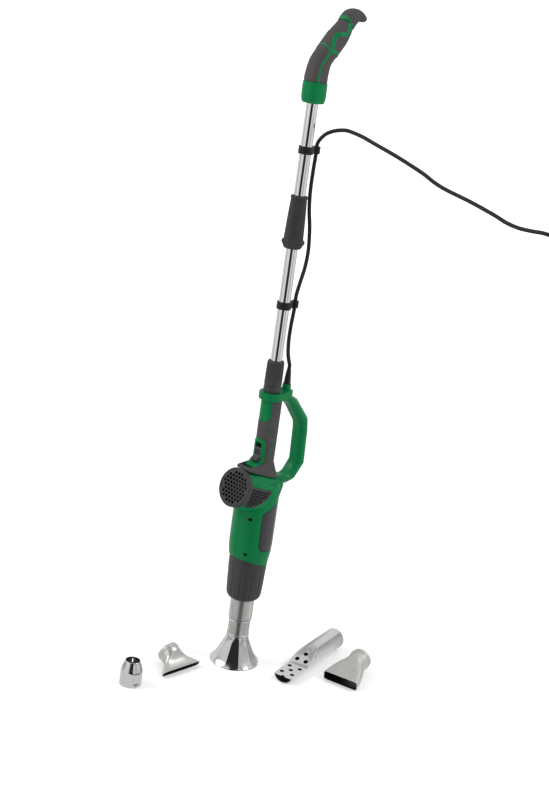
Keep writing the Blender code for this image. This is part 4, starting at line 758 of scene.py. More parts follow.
screwWells = {"forward": -0.0300, "heights": (0.211, 0.274), "headRadius": 0.0026, "boss": 0.0165,
              "bossRadius": 0.0042, "shankRoom": 0.0018}
switchSlot = {"halfWidth": 0.0068, "low": 0.3680, "high": 0.4016}
slotOutline = oblong(*switchSlot.values())
halfOutline = [(-0.12, 0.05), (0.15, 0.05), (0.15, 0.60), (-0.12, 0.60)]    # past everything on one side
for side, sign in (("left", -1), ("right", 1)):
    halfSpace = sidePrism("half space", halfOutline, gap / 2, 0.08, sign, greenAbs)
    meshCut = sidePrism("mesh cut", softened(meshWindow["outline"], 0.0015, True), 0.018, 0.06, sign,
                        greenAbs)
    padCut = sidePrism("pad cut", softened(padWindow, 0.0040, True, 6), gap / 2, 0.08, sign, greenAbs)
    housing = copyOf(casingShell, f"housing_{side}_shell")
    for cutter, how in ((halfSpace, "INTERSECT"), (meshCut, "DIFFERENCE"), (padCut, "DIFFERENCE")):
        combine(housing, cutter, how, keepTool=cutter is halfSpace)
    for height in screwWells["heights"]:
        spot = (screwWells["forward"], height)
        boss = sidePrism("boss", circleOutline(spot, screwWells["bossRadius"]), gap / 2, 0.0190, sign,
                         greenAbs)
        combine(boss, rod("inside of the barrel", 0.0345, 0.19, 0.30, greenAbs), "INTERSECT")
        combine(housing, boss, "UNION")
        if side == "right":
            well = circleOutline(spot, screwWells["headRadius"] + gap)
            combine(housing, prismX("well", well, screwWells["boss"], 0.05, greenAbs), "DIFFERENCE")
        shankRoom = circleOutline(spot, screwWells["shankRoom"], 16)
        combine(housing, sidePrism("bore", shankRoom, -0.001, 0.0175, sign, greenAbs), "DIFFERENCE")
    combine(housing, extruded("slot", slotOutline, -0.05, -0.004, "y", greenAbs), "DIFFERENCE")
    combine(housing, rod("relief seat", 0.0049, relief["low"] - gap, 0.5065, greenAbs, count=32,
                         centre=(0, collar["cordBack"])), "DIFFERENCE")
    standsFor(housing, "gun", "green_plastic", f"housing_{side}")

    grille = copyOf(casingShell, f"side_grille_{side}_mesh", blackNylon)
    edge = drawnIn(meshWindow["outline"], gap)
    combine(grille, sidePrism("grille edge", softened(edge, 0.0015, True), 0.018, 0.06, sign, blackNylon),
            "INTERSECT")
    rows, columns = np.meshgrid(np.arange(-10, 11), np.arange(-14, 14), indexing="ij")
    y = meshWindow["middle"][0] + meshWindow["pitch"] * (columns + 0.5 * (rows % 2))
    z = (meshWindow["middle"][1] + meshWindow["pitch"] * rowShare * rows
         - (y - meshWindow["middle"][0]) * seamSlope)
    places = np.stack([y.ravel(), z.ravel()], axis=1)
    places = places[insideOf(drawnIn(meshWindow["outline"], meshWindow["hole"] * 0.66), places)]
    low, high = sorted((0.010 * sign, 0.070 * sign))
    combine(grille, punched("mesh holes", places, meshWindow["hole"] / 2, low, high, blackNylon, 12,
                            sideways), "DIFFERENCE")
    standsFor(grille, "gun", "black_plastic", f"side_grille_{side}")

    pad = copyOf(casingShell, f"rear_pad_{side}_skin", padTpe)
    padEdge = softened(drawnIn(padWindow, 0.0010), 0.0040, True, 6)
    combine(pad, sidePrism("pad edge", padEdge, gap / 2, 0.08, sign, padTpe), "INTERSECT")
    combine(pad, halfSpace, "INTERSECT")
    standsFor(pad, "gun", "soft_grip", f"rear_pad_{side}")
    print("half made:", side, len(places), "mesh holes")
bpy.data.objects.remove(casingShell)

# ---- screws: a pan head with a cross recess at the bottom of each well

# the heads' dark steel is painted shade of the deep wells
for number, height in enumerate(screwWells["heights"], 1):
    spot = (screwWells["forward"], height)
    screw = prismX(f"housing_screw_{number}_head", circleOutline(spot, screwWells["headRadius"], 32),
                   screwWells["boss"] + gap, screwWells["boss"] + 0.0022, wellShadeSteel)
    easedEdges(screw, 0.0005, 60, 3)
    combine(screw, prismX("shank", circleOutline(spot, 0.0015, 20), -screwWells["boss"],
                          screwWells["boss"] + 0.001, wellShadeSteel), "UNION")
    for turnBy in (45, 135):
        c, s = math.cos(math.radians(turnBy)), math.sin(math.radians(turnBy))
        arm = [(spot[0] + c * a - s * b, spot[1] + s * a + c * b) for a, b in oblong(0.0017, -0.0004, 0.0004)]
        combine(screw, prismX("recess", arm, screwWells["boss"] + 0.0010, screwWells["boss"] + 0.004,
                              wellShadeSteel), "DIFFERENCE")
    standsFor(screw, "gun", "stainless_steel", f"housing_screw_{number}")

# ---- intake cover: a thick rim and a plate full of round holes

coverLook = {"hole": 0.0055, "pitch": 0.0068, "plate": 0.0024, "rim": 0.0028, "cupRadius": 0.0270}
coverOut = head["coverRadius"]
coverProfile = softened([(coverOut - coverLook["rim"], -coverLook["plate"] - 0.0008),
                         (coverOut - coverLook["rim"], gap - head["coverDepth"]),
                         (coverOut, gap - head["coverDepth"]), (coverOut, -0.0016), (coverOut - 0.0013, 0),
                         (coverOut - 0.0020, 0), (coverOut - coverLook["rim"], -0.0011)], 0.0005)
angles = ringAngles(144)
intakeCover = skin("intake_cover_plate", [inHead(reach * np.cos(angles), reach * np.sin(angles), ahead)
                                          for reach, ahead in coverProfile], blackNylon)
rows, columns = np.meshgrid(np.arange(-6, 7), np.arange(-7, 8), indexing="ij")
across, up = coverLook["pitch"] * (columns + 0.5 * (rows % 2)), coverLook["pitch"] * rowShare * rows
inside = np.hypot(across, up) + coverLook["hole"] / 2 < coverOut - coverLook["rim"] - 0.0003
places = np.stack([across[inside], up[inside]], axis=1)
# a black cup behind the holes, one moulding with the cover, darkens the head's inside seen through them:
# painted shade
combine(intakeCover, headBar("shade cup", coverLook["cupRadius"], (-0.0215, -0.0028), blackNylon), "UNION")
combine(intakeCover, headBar("cup room", coverLook["cupRadius"] - 0.0008, (-0.0205, -0.0034), blackNylon),
        "DIFFERENCE")
combine(intakeCover, punched("cover holes", places, coverLook["hole"] / 2, -0.006, 0.003, blackNylon, 16,
                             inHead), "DIFFERENCE")
standsFor(intakeCover, "gun", "black_plastic", "intake_cover")
print("intake cover made with", len(places), "holes")

# ---- soft grip round the stem and down onto the head's flat top


def roofAt(y):
    start = inHead(0, head["top"] + gap, 0)
    return start[2] - (y - start[1]) * seamSlope


def skirtRing(lift, blend):
    # from a rounded square on the head's top, (|cos|^4 + |sin|^4)^(-1/4) out, to the grip's own circle
    angles = ringAngles(96)
    c, s = np.cos(angles), np.sin(angles)
    out = (np.abs(c) ** 4 + np.abs(s) ** 4) ** -0.25
    y = -0.0085 + 0.0365 * out * s
    flat = np.stack([(head["topHalf"] - 0.001) * out * c, y, roofAt(y) + lift], axis=1)
    top = aroundAxis(stem["gripRadius"], angles, 0.3680, (0, stem["back"]))
    return flat * (1 - blend) + top * blend


skirtSteps = np.concatenate([[(0, 0)], smoothLine([(0.0024, 0), (0.0040, 0.12), (0.0030, 0.55),
                                                   (0.0010, 0.85), (0, 1)], 5)])
softGrip = rod("soft grip", stem["gripRadius"], 0.3640, stem["gripTop"], softTpe, centre=(0, stem["back"]),
               corner=0.0008)
combine(softGrip, skin("skirt", [skirtRing(lift, blend) for lift, blend in skirtSteps], softTpe), "UNION")
combine(softGrip, rod("grip bore", stem["radius"] + gap, 0.32, 0.48, softTpe, centre=(0, stem["back"])),
        "DIFFERENCE")
roomStations = [gap - head["coverDepth"], *headStations[1:], head["back"] - gap]
combine(softGrip, skin("head room", [headRing(ahead, gap) for ahead in roomStations], softTpe), "DIFFERENCE")
combine(softGrip, headBar("cover room", coverOut + gap, (0.01, -head["coverDepth"]), softTpe), "DIFFERENCE")
combine(softGrip, loopSolid("loop room", gap), "DIFFERENCE")
combine(softGrip, extruded("tongue room", tongueOutline(gap, 0.49), -0.04, stem["back"] + gap, "y",
                           softTpe), "DIFFERENCE")
switchFrame = {"halfWidth": 0.0120, "low": 0.3590, "high": 0.4085, "cut": 0.005, "proud": 0.0014}


def frameOutline(room=0.0):
    w, low, high, cut = (switchFrame["halfWidth"] + room, switchFrame["low"] - room,
                         switchFrame["high"] + room, switchFrame["cut"])
    return softened([(-w, low), (w, low), (w, high - cut), (w - cut, high), (cut - w, high),
                     (-w, high - cut)], 0.0015, True)


def footOutline(room=0.0):
    low = switchFrame["low"]
    return [(-0.0120, low + 0.0150 + room), (-0.0186 - room, low + 0.0085 + room),
            (-0.0275 - room, low + 0.0040), (-0.0275 - room, low + 0.0005 - room),
            (-0.0120, low + 0.0005 - room)]


combine(softGrip, extruded("frame room", frameOutline(gap), -0.04, stem["back"], "y", softTpe), "DIFFERENCE")
frameHalf = switchFrame["halfWidth"]
combine(softGrip, prismX("foot room", footOutline(gap), -frameHalf - gap, frameHalf + gap, softTpe),
        "DIFFERENCE")
for side, sign in (("left", -1), ("right", 1)):
    half = copyOf(softGrip, f"grip_{side}_half")
    combine(half, sidePrism("half space", halfOutline, gap / 2, 0.08, sign, softTpe), "INTERSECT")
    standsFor(half, "gun", "soft_grip", f"grip_{side}")
bpy.data.objects.remove(softGrip)

# a thin green line on each side of the grip, standing a hair proud of it, as (bearing, height) round the grip
reliefLine = {"halfWidth": 0.0005, "proud": 0.00025, "path": [
    (24, 0.4400), (-50, 0.4345), (-50, 0.4210), (-8, 0.4100), (-4, 0.3960), (-22, 0.3860), (-22, 0.3715)]}


def onGrip(bearing, height, out):
    angle = np.radians(bearing)
    reach = stem["gripRadius"] + out
    return np.stack([reach * np.cos(angle), stem["back"] + reach * np.sin(angle), height], axis=-1)


def gripLine(name, mirrored):
    path = np.array(reliefLine["path"], float)
    parts = [np.linspace(a, b, 12, endpoint=False) for a, b in zip(path[:-1], path[1:])]
    path = np.concatenate([*parts, path[-1:]])
    flat = np.stack([np.radians(path[:, 0]) * stem["gripRadius"], path[:, 1]], axis=1)
    along = np.gradient(flat, axis=0)
    along /= np.linalg.norm(along, axis=1)[:, None]
    across = np.stack([-along[:, 1], along[:, 0]], axis=1) * reliefLine["halfWidth"]
    corners = []
    for side, out in ((1, -0.0003), (1, reliefLine["proud"]), (-1, reliefLine["proud"]), (-1, -0.0003)):
        edge = flat + side * across
        corners.append(onGrip(np.degrees(edge[:, 0] / stem["gripRadius"]), edge[:, 1], out))
    grid = np.stack(corners, axis=1)
    if mirrored:
        grid[..., 0] *= -1
    return skin(name, grid, greenAbs, sharpAngle=30)


for side, mirrored in (("right", False), ("left", True)):
    standsFor(gripLine(f"grip_{side}_line", mirrored), "gun", "soft_grip", f"grip_{side}")
print("soft grip made")

# ---- switch: the surround, and the slider with its ridges

switchBezel = extruded("switch_bezel_frame", frameOutline(), -0.04, stem["back"] - gap, "y", greenAbs)
bezelRound = rod("bezel round", stem["gripRadius"] + switchFrame["proud"], 0.34, 0.42, greenAbs,
                 centre=(0, stem["back"]))
combine(switchBezel, bezelRound, "INTERSECT")
combine(switchBezel, prismX("bezel foot", footOutline(), -frameHalf, frameHalf, greenAbs), "UNION")
bezelBore = rod("bezel bore", stem["radius"] + gap, 0.32, 0.43, greenAbs, centre=(0, stem["back"]))
combine(switchBezel, bezelBore, "DIFFERENCE")
combine(switchBezel, extruded("slot", softened(slotOutline, 0.0012, True), -0.05, -0.004, "y", greenAbs),
        "DIFFERENCE")
standsFor(switchBezel, "gun", "green_plastic", "switch_bezel")
sliderLook = {"halfWidth": 0.0065, "ridges": 5, "ridgePitch": 0.0019, "ridgeGap": 0.0009,
              "firstRidge": 0.0128}
sliderLow = switchSlot["low"] + gap
sliderShape = softened([(-0.0065, sliderLow), (-0.0165, sliderLow), (-0.0220, sliderLow + 0.0022),
                        (-0.0226, sliderLow + 0.0052), (-0.0165, sliderLow + 0.0090),
                        (-0.0148, sliderLow + 0.0110), (-0.0148, sliderLow + 0.0220),
                        (-0.0132, sliderLow + 0.0240), (-0.0065, sliderLow + 0.0240)], 0.0008, True)
slider = prismX("switch_slider_button", sliderShape, -sliderLook["halfWidth"], sliderLook["halfWidth"],
                blackNylon)
for k in range(sliderLook["ridges"]):
    level = sliderLow + sliderLook["firstRidge"] + k * sliderLook["ridgePitch"]
    gapPlan = oblong(sliderLook["halfWidth"] - 0.0013, level, level + sliderLook["ridgeGap"])
    ridgeGap = extruded("ridge gap", gapPlan, -0.0160, -0.0142, "y", blackNylon)
    combine(slider, ridgeGap, "DIFFERENCE")
standsFor(slider, "switch", "black_plastic", "switch_slider")
print("switch made")

# ---- nose: black shroud with shallow grooves down its side, cut off along the seam's slope

nose = {"bottom": 0.120, "footRadius": 0.0296, "topRadius": 0.0322, "mouth": 0.0225, "grooves": 12,
        "grooveDepth": 0.0009}
outlet = {"radius": 0.0200, "spigotRadius": 0.0171, "wall": 0.0009, "step": 0.0822, "foot": 0.0480,
          "top": 0.1760}


def noseRing(radius, level, depth):
    # each groove takes depth x |cos(angle x grooves / 2)|^14 off the radius
    angles = ringAngles(240)
    reach = radius - depth * np.abs(np.cos(angles * nose["grooves"] / 2)) ** 14
    return aroundAxis(reach, angles, level)


low, foot, top = nose["bottom"], nose["footRadius"], nose["topRadius"]
noseRows = [(nose["mouth"], low, 0), (foot - 0.0036, low + 0.0022, 0), (foot - 0.0016, low + 0.0044, 0.3),
            (foot - 0.0004, low + 0.0072, 0.8), (foot, low + 0.0095, 1), (foot + 0.0012, 0.150, 1),
            (top - 0.0006, 0.172, 1), (top - 0.0002, 0.174, 0.5), (top, 0.176, 0), (top, 0.2120, 0),
            (top - wall, 0.2120, 0), (foot - wall, low + 0.012, 0),
            (outlet["radius"] + gap, low + 0.008, 0), (outlet["radius"] + gap, low, 0)]
noseRings = [noseRing(radius, level, share * nose["grooveDepth"]) for radius, level, share in noseRows]
noseShell = skin("nose_shroud", noseRings, blackNylon, closed=True)
combine(noseShell, pastSeam("above the seam", 0.25, 0, blackNylon), "DIFFERENCE")
standsFor(noseShell, "gun", "black_plastic", "nose_shell")

# ---- outlet tube: rolled steel with a step down to the spigot that every nozzle slides onto

wideOut, spigotOut = outlet["radius"], outlet["spigotRadius"]
outletFoot, outletStep = outlet["foot"], outlet["step"]
wideIn, spigotIn, stepIn = wideOut - outlet["wall"], spigotOut - outlet["wall"], outletStep + outlet["wall"]
outletLine = [(spigotOut, outletFoot), (spigotOut, outletStep), (wideOut, outletStep),
              (wideOut, outlet["top"]), (wideIn, outlet["top"]), (wideIn, stepIn), (spigotIn, stepIn),
              (spigotIn, outletFoot)]
outletTube = turned("outlet_pipe", outletLine, satinSteel, hollow=True, count=144)
standsFor(outletTube, "gun", "stainless_steel", "outlet_tube")

# ---- heater above the step: a rolled mica sleeve round a ceramic core with six arms

heater = {"low": stepIn + gap, "top": 0.1730, "out": wideIn - gap, "sheet": 0.0006, "armRoot": 0.0095}
micaOut, micaIn, micaTop = heater["out"], heater["out"] - heater["sheet"], heater["top"] + 0.001
micaSleeve = turned("mica_sleeve_rolled", [(micaOut, heater["low"]), (micaOut, micaTop), (micaIn, micaTop),
                                           (micaIn, heater["low"])], micaSheet, hollow=True, corner=0)
standsFor(micaSleeve, "gun", "mica", "mica_sleeve")
spokes = ringAngles(24)
reach = np.where(np.arange(24) % 4 < 2, micaIn - gap, heater["armRoot"])
star = np.stack([reach * np.cos(spokes), reach * np.sin(spokes)], axis=1)
heaterCore = extruded("heater_core_star", star, heater["low"], heater["top"], "z", heaterCeramic)
standsFor(heaterCore, "gun", "heater_ceramic", "heater_core")

# ---- bell nozzle: a collar between two beads, and a skirt of flat facets with a scalloped rim

sheet = 0.0009
collarIn = outlet["spigotRadius"] + gap
bell = {"top": 0.0810, "foot": 0.0475, "facets": 10, "turnedBy": math.radians(-52)}


def bellRing(radius, level, flat, lobe):
    # flat facets, cos(half a facet) / cos(angle from the facet's middle), and on each a lobe,
    # cos(half the number of facets x that angle)
    angles = ringAngles(240)
    half = math.pi / bell["facets"]
    fromMiddle = (angles - bell["turnedBy"] + half) % (2 * half) - half
    facet = math.cos(half) / np.cos(fromMiddle)
    reach = radius * (1 - flat + flat * facet) + lobe * np.cos(bell["facets"] / 2 * fromMiddle)
    return aroundAxis(reach, angles, level)


bellLine = smoothLine([(collarIn, 0.0500, 0, 0), (collarIn + 0.0008, 0.0476, 0, 0),
                       (0.0196, 0.0425, 0.5, 0), (0.0232, 0.0340, 1, 0), (0.0290, 0.0215, 1, 0),
                       (0.0346, 0.0110, 1, 0.0002), (0.0390, 0.0045, 1, 0.0010),
                       (0.0409, 0.0014, 1, 0.0022), (0.0408, 0, 1, 0.0026)], 6)
beads = [(collarIn, bell["top"], 0, 0), (collarIn + 0.0001, bell["top"] - 0.0008, 0, 0)]
for level in (bell["top"] - 0.0026, bell["foot"] + 0.0045):
    steps = np.linspace(0, math.pi, 7)
    beads += [(collarIn + 0.0012 * math.sin(a), level + 0.0012 * math.cos(a), 0, 0) for a in steps]
insideLine = np.array([*beads, *bellLine[2:]])
insideLine = insideLine[np.argsort(-insideLine[:, 1], kind="stable")]
# the inside of the skirt takes the steel darkened as painted shade
bellNozzle = skin("bell_nozzle_skirt", [bellRing(row[0] + sheet, *row[1:]) for row in insideLine]
                  + [bellRing(*row) for row in insideLine[::-1]], polishedSteel, closed=True, sharpAngle=24,
                  inside=mouthShadeSteel)
# the collar's outer faces are satin
bellNozzle.data.materials.append(satinSteel)
bellFaces = bellNozzle.data.polygons
finish, centres = np.empty(len(bellFaces), int), np.empty(len(bellFaces) * 3)
bellFaces.foreach_get("material_index", finish)
bellFaces.foreach_get("center", centres)
finish[(centres[2::3] > bell["foot"] + 0.001) & (finish == 0)] = 2
bellFaces.foreach_set("material_index", finish)
slotPlan = softened([(0.010, -0.0026), (0.024, -0.0026), (0.024, 0.0026), (0.010, 0.0026)], 0.0004, True)
for heading in (-48, 132):
    for level in (bell["top"] - 0.0060, bell["foot"] + 0.0012):
        cut = extruded("bead slot", slotPlan, level - 0.0008, level + 0.0008, "z", polishedSteel)
        combine(bellNozzle, placed(cut, turnedAt(heading)), "DIFFERENCE")
standsFor(bellNozzle, "bell", "stainless_steel", "bell_nozzle")
print("bell nozzle made")

# ---- reducer, standing on its collar: four slits under its rim, and a T-shaped slot on two sides of the foot

reducer = {"at": (-0.0310, -0.2090), "slitHeading": -42, "teeHeading": -12}
reducerOuter = smoothLine([(collarIn + sheet, 0.0), (collarIn + sheet, 0.0120), (collarIn + sheet, 0.0240)],
                          2).tolist()
reducerOuter += [(collarIn + sheet - 0.0003, 0.0256), (0.0162, 0.0310), (0.0128, 0.0398), (0.0125, 0.0410),
                 (0.0123, 0.0420)]
reducerInner = [(radius - sheet, level) for radius, level in reversed(reducerOuter)]
# inside, the steel darkened as painted shade of the mouth
reducerNozzle = turned("reducer_nozzle_cone", reducerOuter + reducerInner, polishedSteel, hollow=True,
                       count=144, corner=0.0003, centre=reducer["at"], inside=mouthShadeSteel)


def cutAt(target, heading, at, outline, low, high):
    # a radial cut: the outline is (sideways, up), carried outwards from low to high along the heading
    tool = prismX("radial cut", outline, low, high, polishedSteel)
    combine(target, placed(tool, turnedAt(heading, at)), "DIFFERENCE")


slitOutline = oblong(0.0008, 0.0300, 0.0385)
for k in range(4):
    cutAt(reducerNozzle, reducer["slitHeading"] + 90 * k, reducer["at"], slitOutline, 0.005, 0.024)
teeOutline = [(-0.0016, -0.001), (0.0016, -0.001), (0.0016, 0.0045), (0.0050, 0.0045), (0.0050, 0.0078),
              (-0.0050, 0.0078), (-0.0050, 0.0045), (-0.0016, 0.0045)]
for k in range(2):
    cutAt(reducerNozzle, reducer["teeHeading"] + 180 * k, reducer["at"], teeOutline, 0.008, 0.024)
standsFor(reducerNozzle, "reducer", "stainless_steel", "reducer_nozzle")

# ---- fishtail and wide flat nozzle, on their sides


def flatRing(along, halfWide, halfThick, power):
    # a rounded section: (|cos|^p + |sin|^p)^(-1/p) out, halfWide across and halfThick through
    angles = ringAngles(120)
    c, s = np.cos(angles), np.sin(angles)
    out = (np.abs(c) ** power + np.abs(s) ** power) ** (-1 / power)
    return np.stack([halfThick * out * c, halfWide * out * s, np.full(len(angles), along)], axis=1)


# inside, each flat nozzle takes the steel darkened as painted shade
def flaredNozzle(name, stations, place, heading, lean, lift):
    stations = np.asarray(stations, float)
    rows = [flatRing(*row) for row in stations]
    rows += [flatRing(along, wide - sheet, thick - sheet, power)
             for along, wide, thick, power in stations[::-1]]
    made = skin(name, rows, satinSteel, closed=True, sharpAngle=50, inside=mouthShadeSteel)
    turnBy = Matrix.Rotation(heading, 4, "Z") @ Matrix.Rotation(math.pi / 2 - lean, 4, "Y")
    return placed(made, Matrix.Translation((*place, lift)) @ turnBy)


collarOut = collarIn + sheet
fishtail = {"length": 0.0430, "half": 0.0415, "thick": 0.0055, "neck": 0.0270, "at": (-0.0155, -0.1105)}
fishLean = math.atan((collarOut - fishtail["thick"]) / fishtail["neck"])
fan = smoothLine([(0, fishtail["half"], fishtail["thick"], 6), (0.0060, 0.0375, 0.0056, 5),
                  (0.0160, 0.0270, 0.0080, 3), (0.0240, 0.0200, 0.0150, 2.2),
                  (fishtail["neck"], collarOut, collarOut, 2)], 5)


def collarBead(along, proud):
    # half a turn of bead round the collar
    steps = np.linspace(0, math.pi, 6)
    out = collarOut + proud * np.sin(steps)
    return np.stack([along - 0.0014 * np.cos(steps), out, out, np.full(len(steps), 2.0)], axis=1)


fishLift = fishtail["thick"] * math.cos(fishLean) + 0.0004
fishEnd = (fishtail["length"], collarOut + 0.0001, collarOut + 0.0001, 2)
fishtailNozzle = flaredNozzle("fishtail_nozzle_fan", [*fan, *collarBead(0.0382, 0.0010), fishEnd],
                              fishtail["at"], math.pi, fishLean, fishLift)
standsFor(fishtailNozzle, "fishtail", "stainless_steel", "fishtail_nozzle")

wide = {"length": 0.0770, "half": 0.0315, "thick": 0.0082, "neck": 0.0530, "at": (0.1630, 0.0930),
        "heading": 104}
wideLean = math.atan((collarOut - wide["thick"]) / wide["neck"])
body = smoothLine([(0, wide["half"], wide["thick"], 9), (0.0080, 0.0308, 0.0088, 8),
                   (0.0400, 0.0230, 0.0150, 3), (0.0520, collarOut + 0.0004, collarOut, 2.1),
                   (0.0560, collarOut, collarOut, 2)], 6)
wideLift = wide["thick"] * math.cos(wideLean) + 0.0004
wideEnd = (wide["length"], collarOut, collarOut, 2)
wideNozzle = flaredNozzle("flat_nozzle_body", [*body, *collarBead(0.0706, 0.0009), wideEnd], wide["at"],
                          math.radians(wide["heading"]), wideLean, wideLift)
standsFor(wideNozzle, "flat", "stainless_steel", "flat_nozzle")

# ---- lighter nozzle: a tube pressed down towards a thin mouth, with eight round holes

lighter = {"length": 0.1810, "tip": (0.1030, 0.0130), "heading": 13.4, "hole": 0.0078, "lip": 0.0122,
           "flatEnd": (0.0500, 0.0134), "slantEnd": 0.1050,
           "holes": [(-0.0100, 0.0400), (0.0100, 0.0400), (0, 0.0270), (-0.0100, 0.0140), (0.0100, 0.0140),
                     (-0.0085, 0.0620), (0.0085, 0.0620), (0, 0.0760)]}


def lighterBar(name, shrink, over, material):
    # a bar lying along Y with its top pressed away in two flats; the bore is the same bar, smaller and longer
    tubeRound = circleOutline((0, collarOut), collarOut - shrink, 128)
    bar = extruded(name, tubeRound, -over, lighter["length"] + over, "y", material)
    topOf = 2 * collarOut + 0.001
    away = [(-0.02, lighter["lip"] - shrink), (0, lighter["lip"] - shrink),
            (lighter["flatEnd"][0], lighter["flatEnd"][1] - shrink), (lighter["slantEnd"], topOf - shrink),
            (lighter["slantEnd"], 0.06), (-0.02, 0.06)]
    return combine(bar, prismX(f"{name} top", away, -0.03, 0.03, material), "DIFFERENCE")


lighterNozzle = lighterBar("lighter_nozzle_tube", 0, 0, polishedSteel)
# the bore carries the steel darkened as painted shade onto the inside
combine(lighterNozzle, lighterBar("lighter bore", sheet, 0.01, mouthShadeSteel), "DIFFERENCE")
for spot in lighter["holes"]:
    hole = extruded("hole", circleOutline(spot, lighter["hole"] / 2, 28), 0.0060, 0.0450, "z", polishedSteel)
    combine(lighterNozzle, hole, "DIFFERENCE")
notch = extruded("notch", oblong(0.0030, -0.01, 0.0035), 0.0060, 0.03, "z", polishedSteel)
combine(lighterNozzle, notch, "DIFFERENCE")
placed(lighterNozzle, turnedAt(lighter["heading"], lighter["tip"]))
standsFor(lighterNozzle, "lighter", "stainless_steel", "lighter_nozzle")
print("loose nozzles made")

# ---- pole: two chromed tubes, the lock nut, the middle grip and the two cord clips

tube = {"radius": 0.0095, "wall": 0.0010, "joint": 0.7690, "lowerFoot": 0.4503, "upperTop": 0.9860}
tubeIn, tubeSeat = tube["radius"] - tube["wall"], tube["radius"] + gap
lowerPart = ("lower_tube", tube["lowerFoot"], tube["joint"] - gap / 2)
upperPart = ("upper_tube", tube["joint"] + gap / 2, tube["upperTop"])
for name, low, high in (lowerPart, upperPart):
    pipe = turned(f"{name}_chromed", [(tube["radius"], low), (tube["radius"], high), (tubeIn, high),
                                      (tubeIn, low)], chromePlate, hollow=True, count=128, corner=0.0003)
    standsFor(pipe, "gun", "chromed_tube", name)

nut = {"radius": 0.0146, "low": 0.4873, "length": 0.0530, "seatTop": 0.5173, "waves": 36, "depth": 0.0007}
nutOut, nutLow, nutTop = nut["radius"], nut["low"], nut["low"] + nut["length"]
nutLine = softened([(nutOut - 0.0004, nutLow), (nutOut, nutLow + 0.0008), (nutOut, nutLow + 0.0095),
                    (nutOut - 0.0013, nutLow + 0.0100), (nutOut - 0.0013, nutLow + 0.0118),
                    (nutOut, nutLow + 0.0124), (nutOut - 0.0002, nutLow + 0.0260),
                    (nutOut - 0.0006, nutTop - 0.0030), (nutOut - 0.0013, nutTop - 0.0008),
                    (nutOut - 0.0022, nutTop), (tubeSeat, nutTop), (tubeSeat, nut["seatTop"]),
                    (socketRadius, nut["seatTop"]), (socketRadius, nutLow)], 0.0005, True)
# above the plain foot the radius loses depth x (1 - cos(waves x angle)) / 2
angles = ringAngles(288)
outside, aboveFoot = nutLine[:, 0] > tube["radius"] + 0.001, nutLine[:, 1] > nutLow + 0.0130
knurled = outside & aboveFoot & (nutLine[:, 1] < nutTop - 0.0024)
reach = nutLine[:, :1] - nut["depth"] * knurled[:, None] * (1 - np.cos(nut["waves"] * angles)) / 2
lockNut = skin("lock_nut_knurled", aroundAxis(reach, angles, nutLine[:, 1:]), blackNylon, closed=True)
standsFor(lockNut, "nut", "black_plastic", "lock_nut")

midGrip = {"low": 0.7270, "high": 0.8110, "ribPitch": 0.0028, "ribDepth": 0.0007, "teeth": 30,
           "toothDepth": 0.0009, "ribbed": (0.7425, 0.8055), "flange": 0.7368, "flangeHalf": 0.0022,
           "seamDepth": 0.0006, "seamHeading": -60, "line": [
    (0.0134, 0.7270), (0.0150, 0.7292), (0.0168, 0.7330), (0.0184, 0.7352), (0.0186, 0.7366),
    (0.0184, 0.7392), (0.0166, 0.7408), (0.0160, 0.7440), (0.0156, 0.7560), (0.0149, 0.7740),
    (0.0141, 0.7900), (0.0134, 0.8020), (0.0131, 0.8060), (0.0136, 0.8070), (0.0137, 0.8096),
    (0.0130, 0.8110)]}
line = smoothLine(midGrip["line"], 16)
order = np.linspace(0, len(line) - 1, 300)
line = np.stack([np.interp(order, np.arange(len(line)), line[:, k]) for k in (0, 1)], axis=1)
ribbed = (line[:, 1] > midGrip["ribbed"][0]) & (line[:, 1] < midGrip["ribbed"][1])
line[:, 0] -= midGrip["ribDepth"] * ribbed * (1 - np.cos(2 * math.pi * line[:, 1] / midGrip["ribPitch"])) / 2
angles = ringAngles(180)
flange = np.exp(-((line[:, 1] - midGrip["flange"]) / midGrip["flangeHalf"]) ** 2)
reach = line[:, :1] - midGrip["toothDepth"] * flange[:, None] * (1 - np.cos(midGrip["teeth"] * angles)) / 2
# the angle to the nearer of two opposite mould seams
fromSeam = np.abs(np.angle(np.exp(2j * (angles - math.radians(midGrip["seamHeading"]))))) / 2
reach = reach - midGrip["seamDepth"] * np.exp(-(fromSeam / 0.045) ** 2) * ribbed[:, None]
bore = [aroundAxis(tubeSeat, angles, level) for level in (midGrip["high"], midGrip["low"])]
midSleeve = skin("mid_grip_ribbed", [*aroundAxis(reach, angles, line[:, 1:]), *bore], ribbedTpe, closed=True)
standsFor(midSleeve, "gun", "soft_grip", "mid_grip_sleeve")

clip = {"length": 0.0120, "wall": 0.0022, "armHalf": 0.0024, "mouthHalf": 0.0016,
        "places": {"clip_lower": (0.6330, 0.0256), "clip_upper": (0.8830, 0.0244)}}
cordRoom = leadRadius + 2 * gap
for name, (height, back) in clip["places"].items():
    low, high = height - clip["length"] / 2, height + clip["length"] / 2
    band = rod(f"{name}_band", tubeSeat + clip["wall"], low, high, clipAcetal, corner=0.0006)
    armPlan = oblong(clip["armHalf"], tube["radius"], back - leadRadius)
    combine(band, extruded("arm", armPlan, low, high, "z", clipAcetal), "UNION")
    hook = rod("hook", cordRoom + clip["wall"], low, high, clipAcetal, corner=0.0006, count=64,
               centre=(0, back))
    combine(band, hook, "UNION")
    for radius, at in ((tubeSeat, 0), (cordRoom, back)):
        bore = rod("bore", radius, low - 0.01, high + 0.01, clipAcetal, count=64, centre=(0, at))
        combine(band, bore, "DIFFERENCE")
    mouthPlan = oblong(clip["mouthHalf"], back, back + 0.02)
    combine(band, extruded("mouth", mouthPlan, low - 0.01, high + 0.01, "z", clipAcetal), "DIFFERENCE")
    standsFor(band, "gun", "black_plastic", name)
print("pole made")

# ---- top handle: green core, soft cover with green lines in relief, and a ribbed end cap

